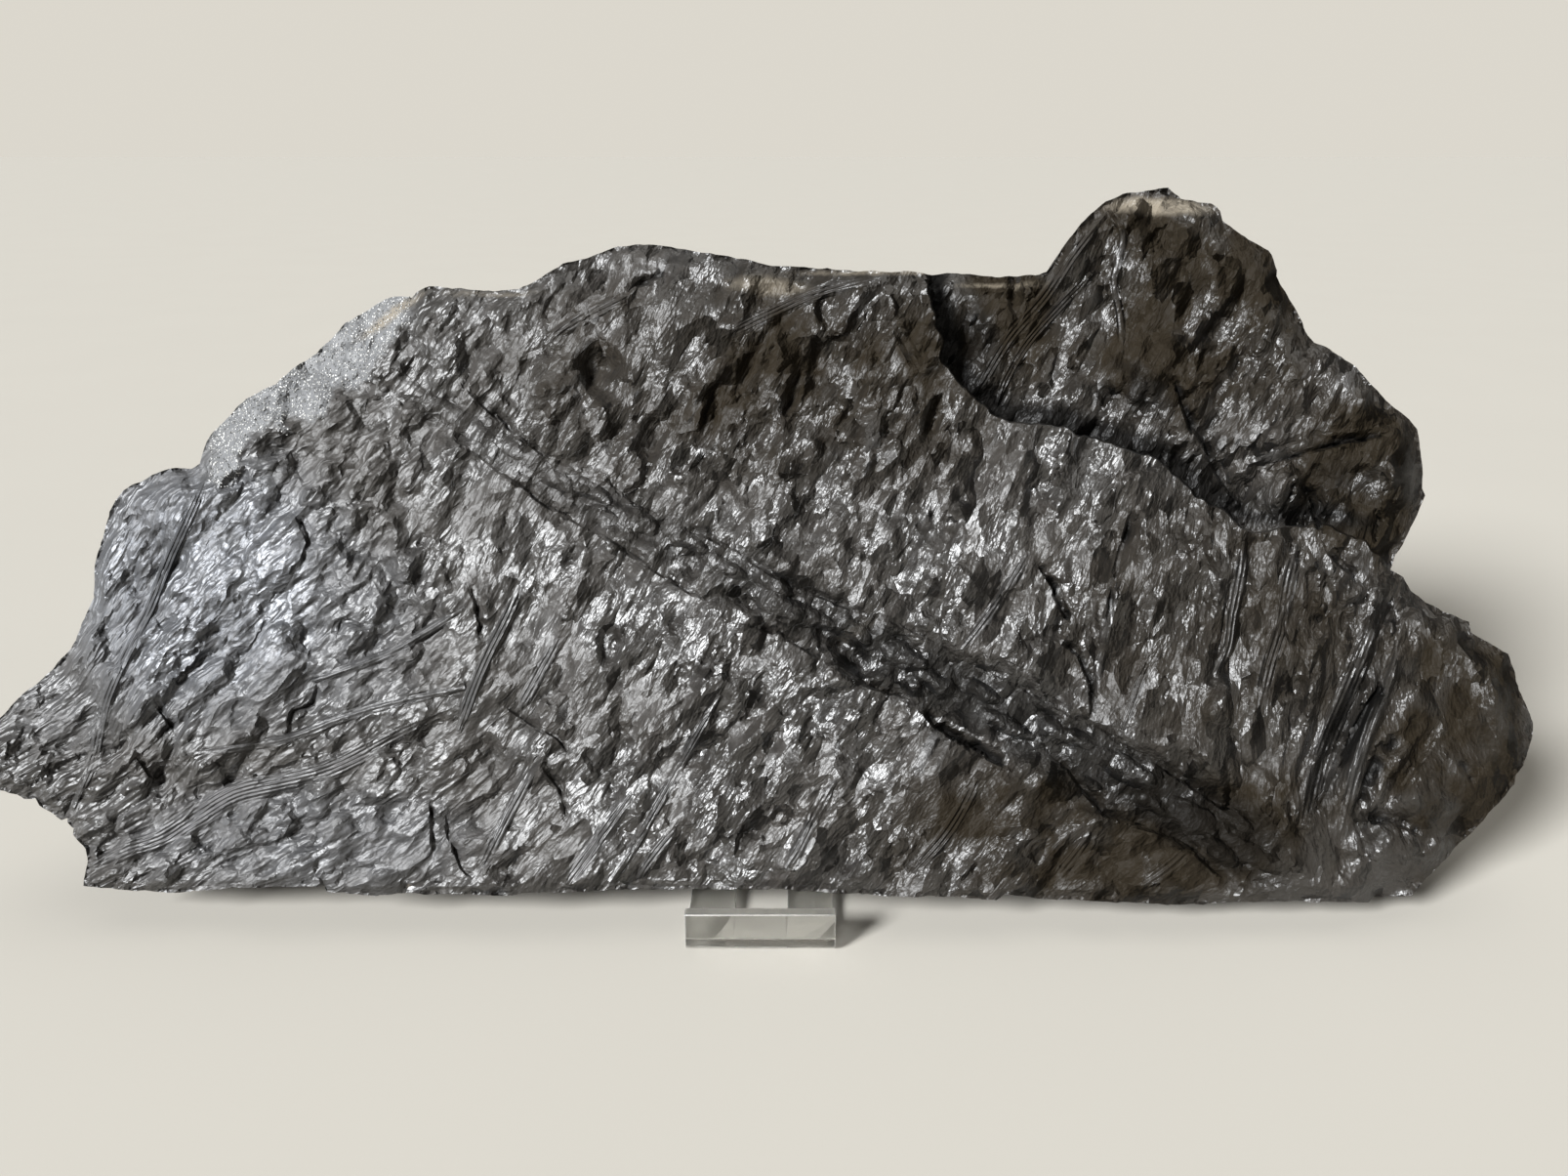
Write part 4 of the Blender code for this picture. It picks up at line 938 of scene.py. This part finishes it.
def rounded(before, corner, after):
    before, corner, after = (np.array(point, float) for point in (before, corner, after))
    armIn = (before - corner) / np.hypot(*(before - corner))
    armOut = (after - corner) / np.hypot(*(after - corner))
    opening = math.acos(float(np.clip(armIn @ armOut, -1, 1)))
    radius = easel["bendRadius"]
    reach = radius / math.tan(opening / 2)
    middle = (armIn + armOut) / np.hypot(*(armIn + armOut))
    centre = corner + middle * radius / math.sin(opening / 2)
    start, end = corner + armIn * reach - centre, corner + armOut * reach - centre
    turn = math.atan2(start[0] * end[1] - start[1] * end[0], float(start @ end))
    side = np.array((-start[1], start[0]))
    parts = easel["bendSteps"]
    angles = [turn * i / parts for i in range(parts + 1)]
    return [centre + start * math.cos(angle) + side * math.sin(angle) for angle in angles]


def bentLine():
    lean, half = sheet["lean"], easel["sheet"] / 2
    behind = slab["thickness"] + easel["clearance"] + half
    restFront = sheet["footBehindLip"] + behind * math.cos(lean)
    restUp = sheet["footHeight"] - behind * math.sin(lean)
    heel = restFront + (half - restUp) * math.tan(lean)
    direction = np.array((math.sin(lean), math.cos(lean)))
    corners = [(half, easel["lipHeight"]), (half, half), (heel, half)]
    cut = np.array((heel, half)) + direction * (easel["restLength"] - easel["bridge"])
    top = np.array((heel, half)) + direction * easel["restLength"]
    line = [np.array(corners[0], float)]
    line.extend(rounded(*corners))
    line.append(np.array((easel["slotStart"], half)))
    line.extend(rounded(corners[1], corners[2], cut))
    line.extend((cut, top))
    return line


def easelSurface():
    line = bentLine()
    halfSlot, halfLeg, half = easel["slotWidth"] / 2, easel["legWidth"] / 2, easel["width"] / 2
    columns = (-half, -halfSlot, -halfLeg, halfLeg, halfSlot, half)
    verts = [(easel["middle"] + x, y, z) for y, z in line for x in columns]
    width = len(columns)
    slotFrom = next(i for i, point in enumerate(line) if abs(point[0] - easel["slotStart"]) < 1e-6)
    slotTo = len(line) - 2
    faces = []
    for i in range(len(line) - 1):
        for j in range(width - 1):
            if slotFrom <= i < slotTo and 1 <= j <= 3:
                continue
            corner = i * width + j
            faces.append((corner, corner + 1, corner + 1 + width, corner + width))
    hinge, top = line[slotTo], line[-1]
    foot = np.array((easel["legFoot"], easel["sheet"] / 2))
    bend = rounded(top, hinge + (hinge - top) * 0.18, foot)
    left, right = slotTo * width + 2, slotTo * width + 3
    for point in bend + [foot]:
        verts.extend((easel["middle"] + x, point[0], point[1]) for x in (-halfLeg, halfLeg))
        faces.append((right, left, len(verts) - 2, len(verts) - 1))
        left, right = len(verts) - 2, len(verts) - 1
    return np.array(verts) - (sheet["shift"][0], sheet["shift"][1], 0), faces


def makeEasel():
    verts, faces = easelSurface()
    thing = meshObject("clearEasel", verts, np.array(faces))
    for slot in ("face", "cut", "eased"):
        thing.data.materials.append(bpy.data.materials.new(slot))
    sheetThickness = thing.modifiers.new("sheet", "SOLIDIFY")
    sheetThickness.material_offset_rim = 1
    sheetThickness.thickness = easel["sheet"] * 0.001
    sheetThickness.offset = 0
    sheetThickness.use_even_offset = True
    eased = thing.modifiers.new("easedEdges", "BEVEL")
    eased.width = easel["edge"] * 0.001
    eased.segments = easel["edgeSteps"]
    eased.material = 2
    eased.limit_method = "ANGLE"
    eased.angle_limit = math.radians(easel["edgeFrom"])
    finished = applyModifiers(thing)
    for number, name in ((1, "cut"), (2, "eased")):
        marks = [face.material_index == number for face in finished.polygons]
        setAttribute(finished, name, marks, "FACE")
    finished.polygons.foreach_set("material_index", [0] * len(finished.polygons))
    finished.materials.clear()
    finished.shade_smooth()
    finished.set_sharp_from_angle(angle=math.radians(easel["sharpFrom"]))
    return thing


clearEasel = makeEasel()
print("easel:", len(clearEasel.data.polygons), "faces")


class Value:
    # a socket that takes part in sums
    def __init__(self, tree, socket):
        self.tree, self.socket = tree, socket

    def sibling(self, output):
        # another output of the same node
        return Value(self.tree, self.socket.node.outputs[output])

    def maths(self, kind, other=None, swap=False, clamp=False):
        first, second = (other, self) if swap else (self, other)
        settings = {"operation": kind, "use_clamp": clamp}
        return self.tree.node("ShaderNodeMath", settings, {0: first, 1: second})

    def __add__(self, other):
        return self.maths("ADD", other)

    def __sub__(self, other):
        return self.maths("SUBTRACT", other)

    def __rsub__(self, other):
        return self.maths("SUBTRACT", other, swap=True)

    def __mul__(self, other):
        return self.maths("MULTIPLY", other)

    __radd__, __rmul__ = __add__, __mul__


class Tree:
    # a node tree, of a material, a modifier or the sky
    def __init__(self, tree):
        self.nodes, self.links = tree.nodes, tree.links

    def node(self, kind, settings=None, values=None, output=0):
        made = self.nodes.new(kind)
        for key, value in (settings or {}).items():
            if key == "stops":
                for element, (at, shade) in zip(made.color_ramp.elements, value):
                    element.position = at
                    element.color = (*shade, 1)
            else:
                setattr(made, key, value)
        for key, value in (values or {}).items():
            self.put(made.inputs[key], value)
        return Value(self, made.outputs[output]) if made.outputs else None

    def put(self, socket, value):
        if isinstance(value, Value):
            self.links.new(value.socket, socket)
        elif value is not None:
            if isinstance(value, tuple) and len(value) == 3 and socket.type == "RGBA":
                value = (*value, 1)
            socket.default_value = value


class Finish(Tree):
    # a material
    def __init__(self, name):
        self.material = bpy.data.materials.new(name)
        self.material.use_nodes = True
        super().__init__(self.material.node_tree)
        self.shader = self.nodes["Principled BSDF"]

    def dress(self, values):
        # values or links of the shader's own sockets
        for name, value in values.items():
            self.put(self.shader.inputs[name], value)

    def attribute(self, name):
        return self.node("ShaderNodeAttribute", {"attribute_name": name}, output=2)

    def place(self):
        return self.node("ShaderNodeTexCoord", output=3)

    def stretched(self, size):
        # places along and across the rock's grain, drawn out along it
        laid = self.node("ShaderNodeAttribute", {"attribute_name": "laid"}, output=1)
        return self.node("ShaderNodeMapping", {}, {0: laid, 3: size})

    def noise(self, where, scale, detail=2.0, roughness=0.5, distortion=0.0):
        return self.node("ShaderNodeTexNoise", {}, {
            "Vector": where, "Scale": scale, "Detail": detail, "Roughness": roughness,
            "Distortion": distortion})

    def vector(self, kind, values, output=0):
        values = dict(enumerate(values))
        return self.node("ShaderNodeVectorMath", {"operation": kind}, values, output)

    def fleck(self, where, scale):
        # small facets, each with its own tilt, as a height in metres
        colour = self.node("ShaderNodeTexVoronoi", {}, {"Vector": where, "Scale": scale}, output=1)
        tilt = self.vector("SUBTRACT", (colour, (0.5, 0.5, 0.5)))
        offset = self.vector("SUBTRACT", (where, colour.sibling(2)))
        return self.vector("DOT_PRODUCT", (tilt, offset), output=1)

    def grit(self, where, scale):
        # shallow bowls with sharp ridges between them, from 0 at their bottoms
        gap = self.node("ShaderNodeTexVoronoi", {}, {"Vector": where, "Scale": scale})
        return gap * gap

    def stirred(self, where, scale, reach):
        # the places, each moved a little by a slow swirl
        swirl = self.noise(where, scale, 1.0).sibling(1)
        return self.vector("MULTIPLY_ADD", (swirl, (reach,) * 3, where))

    def mix(self, share, first, second):
        values = {0: share, 6: first, 7: second}
        return self.node("ShaderNodeMix", {"data_type": "RGBA"}, values, output=2)

    def ramp(self, value, *stops):
        return self.node("ShaderNodeValToRGB", {"stops": stops}, {0: value})


shale = {
    "dark": (0.0065, 0.0053, 0.0040),
    "pale": (0.0150, 0.0132, 0.0115),
    "patch": (0.0125, 0.0100, 0.0076),
    # brownAndShade: matt brown, partly the rock's own tone, partly painted shade of the right side
    "brownAndShade": (0.0115, 0.0088, 0.0055),
    # silverSheen: a metallic lustre, and where it is mixed in a lighter colour, painted sheen of
    # the window-lit left part
    "silverSheen": (0.115, 0.119, 0.128),
    # painted shade: the near-black of creases, the cliff's foot, gloomy places and the stem's
    # trough
    "hollow": (0.0030, 0.0027, 0.0024),
    # leaf: a slightly lighter film, partly painted highlight standing in for the shine of the
    # leaves' ribs
    "leaf": (0.026, 0.026, 0.027),
    # sand: the top-left bevel's granular grey, partly its own colour, partly painted light, lighter
    # for the light the up-facing bevel catches
    "sand": (0.098, 0.100, 0.103),
    "tan": (0.130, 0.112, 0.086),
    "ior": 1.66,
    "roughness": 0.41,
    "patchRoughness": 0.13,
    "softRoughness": 0.09,     # more of it on the silvery left part
    "dullRoughness": 0.62,     # of the matt brown places and of the painted shade, with how far they shine
    "dullShine": 0.06,
    "lumps": 130.0,            # sizes of the blotches, to the metre
    "blotch": 28.0,
    "lift": 60.0,
    "patchRange": (0.44, 0.58),
    "toneRange": (0.36, 0.64),
    "stretch": (0.42, 1, 1),   # places along the grain against those across it
    "swirl": (420.0, 0.0008),  # swirls that stir the grain: to the metre, and their reach
    "ridge": 700.0,            # fine ridges of the break, to the metre, and their depths in metres
    "ridgeDepth": 0.00015,
    "finerRidge": 1500.0,
    "finerDepth": 0.0002,
    "facet": 220.0,            # tilted facets, and the slope between them
    "facetSlope": 1.6,
    "smallFacet": 420.0,
    "smallSlope": 1.0,
    "streak": 800.0,           # streaks of the grain
    "streakDepth": 0.0002,
    "foldStretch": (0.28, 1, 1),
    "foldSwirl": (300.0, 0.0012),
    "fold": 230.0,             # long folds of the left part
    "foldDepth": 0.0042,
    "crinkle": 650.0,
    "crinkleDepth": 0.0003,
    "ribDepth": 0.00013,
}


def shaleHeight(finish, marks, short, streaks):
    # fine relief of the break, in metres
    soft, leaf = marks["soft"], marks["leaf"]
    ridges = finish.grit(short, shale["ridge"]) * shale["ridgeDepth"]
    ridges = ridges + finish.grit(short, shale["finerRidge"]) * shale["finerDepth"]
    facets = finish.fleck(short, shale["facet"]) * shale["facetSlope"]
    facets = facets + finish.fleck(short, shale["smallFacet"]) * shale["smallSlope"]
    calm = (1 - marks["smooth"] * 0.6) * (1 - soft * 0.7)
    height = facets * calm + (ridges + streaks * shale["streakDepth"]) * (1 - soft * 0.4)
    long = finish.stirred(finish.stretched(shale["foldStretch"]), *shale["foldSwirl"])
    crest = (finish.noise(long, shale["fold"], 2.0) - 0.5).maths("ABSOLUTE")
    height = height - crest * soft * shale["foldDepth"]
    crinkle = finish.noise(finish.place(), shale["crinkle"], 2.5, 0.5)
    crinkle = crinkle * (1 - soft * 0.7) * shale["crinkleDepth"]
    ribs = marks["ribPhase"].maths("COSINE")
    height = height * (1 - leaf * 0.6) + crinkle + ribs * leaf * shale["ribDepth"]
    return height * (1 - marks["sand"] * 0.85)


def makeShale():
    finish = Finish("coalyShale")
    marks = {name: finish.attribute(name) for name in (
        "sand", "tan", "sheen", "brownAndShade", "silverSheen", "hollow", "trough", "leaf", "ribPhase",
        "smooth", "soft")}
    short = finish.stirred(finish.stretched(shale["stretch"]), *shale["swirl"])
    streaks = finish.noise(short, shale["streak"], 1.5, 0.5, 0.3)
    where = finish.place()
    lumps, blotch, lift = (
        finish.noise(where, shale[size], 4.0, 0.6) for size in ("lumps", "blotch", "lift"))
    low, high = shale["patchRange"]
    patch = finish.node("ShaderNodeMapRange", {"interpolation_type": "SMOOTHSTEP"}, {
        "Value": lift, "From Min": low, "From Max": high})
    # painted shade: creases, the cliff's foot, gloomy places and the stem's trough take a
    # near-black colour
    dark = marks["hollow"].maths("MAXIMUM", marks["trough"] * 0.8)
    # the left part's metallic lustre; the lighter colour it brings is painted sheen
    metal = marks["silverSheen"].maths("MULTIPLY", streaks + 0.2, clamp=True)
    low, high = shale["toneRange"]
    shade = finish.ramp(blotch * 0.5 + streaks * 0.5, (low, shale["dark"]), (high, shale["pale"]))
    stain = marks["tan"] * (lumps * 0.9 + 0.35)
    for share, colour in (
            (patch * 0.9, "patch"), (metal, "silverSheen"), (marks["leaf"] * 0.5, "leaf"),
            (marks["sand"], "sand"), (stain, "tan"), (dark, "hollow")):
        shade = finish.mix(share, shade, shale[colour])
    rough = patch * shale["patchRoughness"] + shale["roughness"] + (lumps - 0.5) * 0.25
    rough = rough - marks["sheen"] * 0.04 + marks["soft"] * shale["softRoughness"]
    height = shaleHeight(finish, marks, short, streaks)
    bump = finish.node("ShaderNodeBump", {}, {"Strength": 1.0, "Distance": 1.0, "Height": height})
    finish.dress({"Base Color": shade, "Roughness": rough, "Metallic": metal, "Normal": bump,
                  "IOR": shale["ior"]})
    matt = finish.mix(marks["sand"], shale["brownAndShade"], shale["sand"])
    matt = finish.mix(marks["tan"], matt, shale["tan"])
    # a dull finish: matt brown and sand, and the near-black of the painted shade
    dull = finish.node("ShaderNodeBsdfPrincipled", {}, {
        "Base Color": finish.mix(dark, matt, shale["hollow"]), "Normal": bump,
        "Roughness": shale["dullRoughness"], "Specular IOR Level": shale["dullShine"]})
    # share of the dull finish: the painted shade of hollows and of the stem's trough, and the matt
    # sand
    hollowShare = marks["hollow"] * 0.9 + marks["trough"] * (lift * 1.4 - 0.3)
    hollowShare = hollowShare + marks["sand"] * 0.75
    # how dull the finish is: the matt brown, partly painted shade of the right side, and the
    # painted shade of hollows
    dullness = (marks["brownAndShade"] * (lift * 3.6 - 0.8)).maths("MAXIMUM", hollowShare, clamp=True)
    bright = Value(finish, finish.shader.outputs[0])
    both = finish.node("ShaderNodeMixShader", {}, {0: dullness, 1: bright, 2: dull})
    finish.put(finish.nodes["Material Output"].inputs["Surface"], both)
    return finish.material


acrylic = {
    "colour": (0.988, 0.992, 0.980),
    "roughness": 0.02,
    "haze": 90.0,              # to the metre, and how much it roughens
    "hazeDepth": 0.03,
    "cutRoughness": 0.35,
    "easedIor": 3.0,           # the eased edges gather light and look white
    "easedRoughness": 0.6,
    "ior": 1.49,
}


def makeAcrylic():
    finish = Finish("clearAcrylic")
    haze = finish.noise(finish.place(), acrylic["haze"], 3.0)
    cut = finish.attribute("cut") * acrylic["cutRoughness"]
    finish.dress({
        "Base Color": acrylic["colour"],
        "Transmission Weight": 1.0,
        "IOR": acrylic["ior"],
        "Roughness": haze * acrylic["hazeDepth"] + acrylic["roughness"] + cut,
        "Coat Weight": finish.attribute("eased"),
        "Coat IOR": acrylic["easedIor"],
        "Coat Roughness": acrylic["easedRoughness"],
    })
    return finish.material


sandy = {
    "grainSize": 0.00029,    # radius in metres
    "density": 1.5e6,        # grains to the square metre
    "seed": 5,
    "from": 0.45,            # how sandy a face is before grains lie on it
    "speckle": 700.0,
    "grey": (0.07, 0.07, 0.068),
    # pale grains, partly their own colour, partly painted light of the up-facing bevel
    "pale": (0.46, 0.46, 0.45),
    "roughness": 0.35,
}


def sandTree(material):
    # grains scattered over a surface, as a node group with its sizes as inputs
    group = bpy.data.node_groups.new("sandGrains", "GeometryNodeTree")
    inputs = {"Surface": "Geometry", "Grain size": "Float", "Density": "Float", "Seed": "Int"}
    ports = {}
    for name, kind in inputs.items():
        port = group.interface.new_socket(name, in_out="INPUT", socket_type="NodeSocket" + kind)
        ports[name] = port.identifier
    group.interface.new_socket("Grains", in_out="OUTPUT", socket_type="NodeSocketGeometry")
    tree = Tree(group)
    still, fullTurn, least, most = (0, 0, 0), (6.3, 6.3, 6.3), (0.5, 0.5, 0.4), (1.4, 1.2, 0.9)
    surface = tree.node("NodeGroupInput")
    size, density, seed = (surface.sibling(name) for name in ("Grain size", "Density", "Seed"))
    spots = tree.node("GeometryNodeDistributePointsOnFaces", {}, {
        "Mesh": surface, "Density": density, "Seed": seed})
    grain = tree.node("GeometryNodeMeshIcoSphere", {}, {"Radius": size, "Subdivisions": 1})
    turn, swell = (
        tree.node("FunctionNodeRandomValue", {"data_type": "FLOAT_VECTOR"}, {
            0: low, 1: high, "Seed": number})
        for low, high, number in ((still, fullTurn, 2), (least, most, 3)))
    placed = tree.node("GeometryNodeInstanceOnPoints", {}, {
        "Points": spots, "Instance": grain, "Rotation": turn, "Scale": swell})
    solid = tree.node("GeometryNodeRealizeInstances", {}, {0: placed})
    dressed = tree.node("GeometryNodeSetMaterial", {}, {"Geometry": solid, "Material": material})
    tree.node("NodeGroupOutput", {}, {0: dressed})
    return group, ports


def makeSandGrains():
    finish = Finish("paleSand")
    speckle = finish.noise(finish.place(), sandy["speckle"], 1.0)
    shade = finish.ramp(speckle, (0.40, sandy["grey"]), (0.62, sandy["pale"]))
    finish.dress({"Base Color": shade, "Roughness": sandy["roughness"]})
    front = slabFaces[:seen["faces"]]
    sanded = seen["sand"][front].mean(axis=1) > sandy["from"]
    patch = meshObject("sandGrains", slabVerts, front[sanded])
    group, ports = sandTree(finish.material)
    scatter = patch.modifiers.new("scatter", "NODES")
    scatter.node_group = group
    for name, key in (("Grain size", "grainSize"), ("Density", "density"), ("Seed", "seed")):
        scatter[ports[name]] = sandy[key]
    applyModifiers(patch).materials.pop(index=0)   # the patch's own, which is empty
    return patch


fossilSlab.data.materials.append(makeShale())
clearEasel.data.materials.clear()
clearEasel.data.materials.append(makeAcrylic())
print("finishes: made")

sandGrains = makeSandGrains()
print("sand grains:", len(sandGrains.data.polygons), "triangles")

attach(fossilSlab, "root")
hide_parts("fossil_plate")
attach(sandGrains, "root")
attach(clearEasel, "root")
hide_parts("acrylic_stand")


room = {
    "floorColour": (0.314, 0.299, 0.268),
    "floorRoughness": 0.9,
    "floorShine": 0.2,
    "mottle": 9.0,             # of the floor, to the metre, and how dark it gets
    "mottleShade": 0.97,
    "sky": (0.963, 0.921, 0.828),
    "skyStrength": 0.74,
    "fillStrength": 0.07,
    "lens": 27.03,
    "reach": 12000.0,          # of the floor
    # lights: where from, strength, spread in degrees, colour
    "window": ((-0.62, -0.60, 0.50), 11.6, 16, (0.97, 0.985, 1.0)),
    "wall": ((0.6, -0.75, 0.2), 0.6, 70, (1.0, 0.94, 0.86)),
    "overhead": ((0.1, 0.25, 1.3), 1.3, 60, (1.0, 0.99, 0.96)),
}


def makeFloor():
    corners = np.array(((-1, -1, 0), (1, -1, 0), (1, 1, 0), (-1, 1, 0))) * room["reach"]
    floor = meshObject("floor", corners, np.array(((0, 1, 2, 3),)))
    finish = Finish("paleFloor")
    mottle = finish.noise(finish.place(), room["mottle"], 3.0)
    low = tuple(c * room["mottleShade"] for c in room["floorColour"])
    finish.dress({
        "Base Color": finish.mix(mottle, low, room["floorColour"]),
        "Roughness": room["floorRoughness"],
        "Specular IOR Level": room["floorShine"],
    })
    floor.data.materials.append(finish.material)
    return floor


def addLight(name, towards, strength, spread, colour):
    # a soft light from far off, spread over so many degrees of the sky
    light = bpy.data.lights.new(name, "SUN")
    light.energy = strength
    light.angle = math.radians(spread)
    light.color = colour
    lamp = bpy.data.objects.new(name, light)
    lamp.rotation_euler = Vector(towards).to_track_quat("Z", "Y").to_euler()
    bpy.context.scene.collection.objects.link(lamp)


def addSky():
    # a bright sky where it is seen, also through the acrylic, and a faint fill elsewhere
    world = bpy.data.worlds.new("room")
    world.use_nodes = True
    tree = Tree(world.node_tree)
    rays = tree.node("ShaderNodeLightPath", output="Is Camera Ray")
    seenRay = rays.maths("MAXIMUM", rays.sibling("Is Transmission Ray"))
    strength = tree.node("ShaderNodeMapRange", {}, {
        "Value": seenRay, "To Min": room["fillStrength"], "To Max": room["skyStrength"]})
    sky = tree.nodes["Background"]
    tree.put(sky.inputs["Color"], room["sky"])
    tree.put(sky.inputs["Strength"], strength)
    bpy.context.scene.world = world


def addCamera():
    target = Vector(place(toMm([sheet["eye"]]), np.zeros(1))[0]) * 0.001
    lean, distance = sheet["lean"], sheet["eyeDistance"] * 0.001
    camera = bpy.data.cameras.new("camera")
    camera.lens = room["lens"]
    camera.sensor_width = 36
    camera.clip_start = 0.01
    stand = bpy.data.objects.new("camera", camera)
    stand.location = target + Vector((0, -math.cos(lean), math.sin(lean))) * distance
    stand.rotation_euler = (math.pi / 2 - lean, 0, 0)
    bpy.context.scene.collection.objects.link(stand)
    bpy.context.scene.camera = stand


makeFloor()
for name in ("window", "wall", "overhead"):
    addLight(name, *room[name])
addSky()
bpy.context.scene.view_settings.view_transform = "Standard"
addCamera()
print("room: lit")
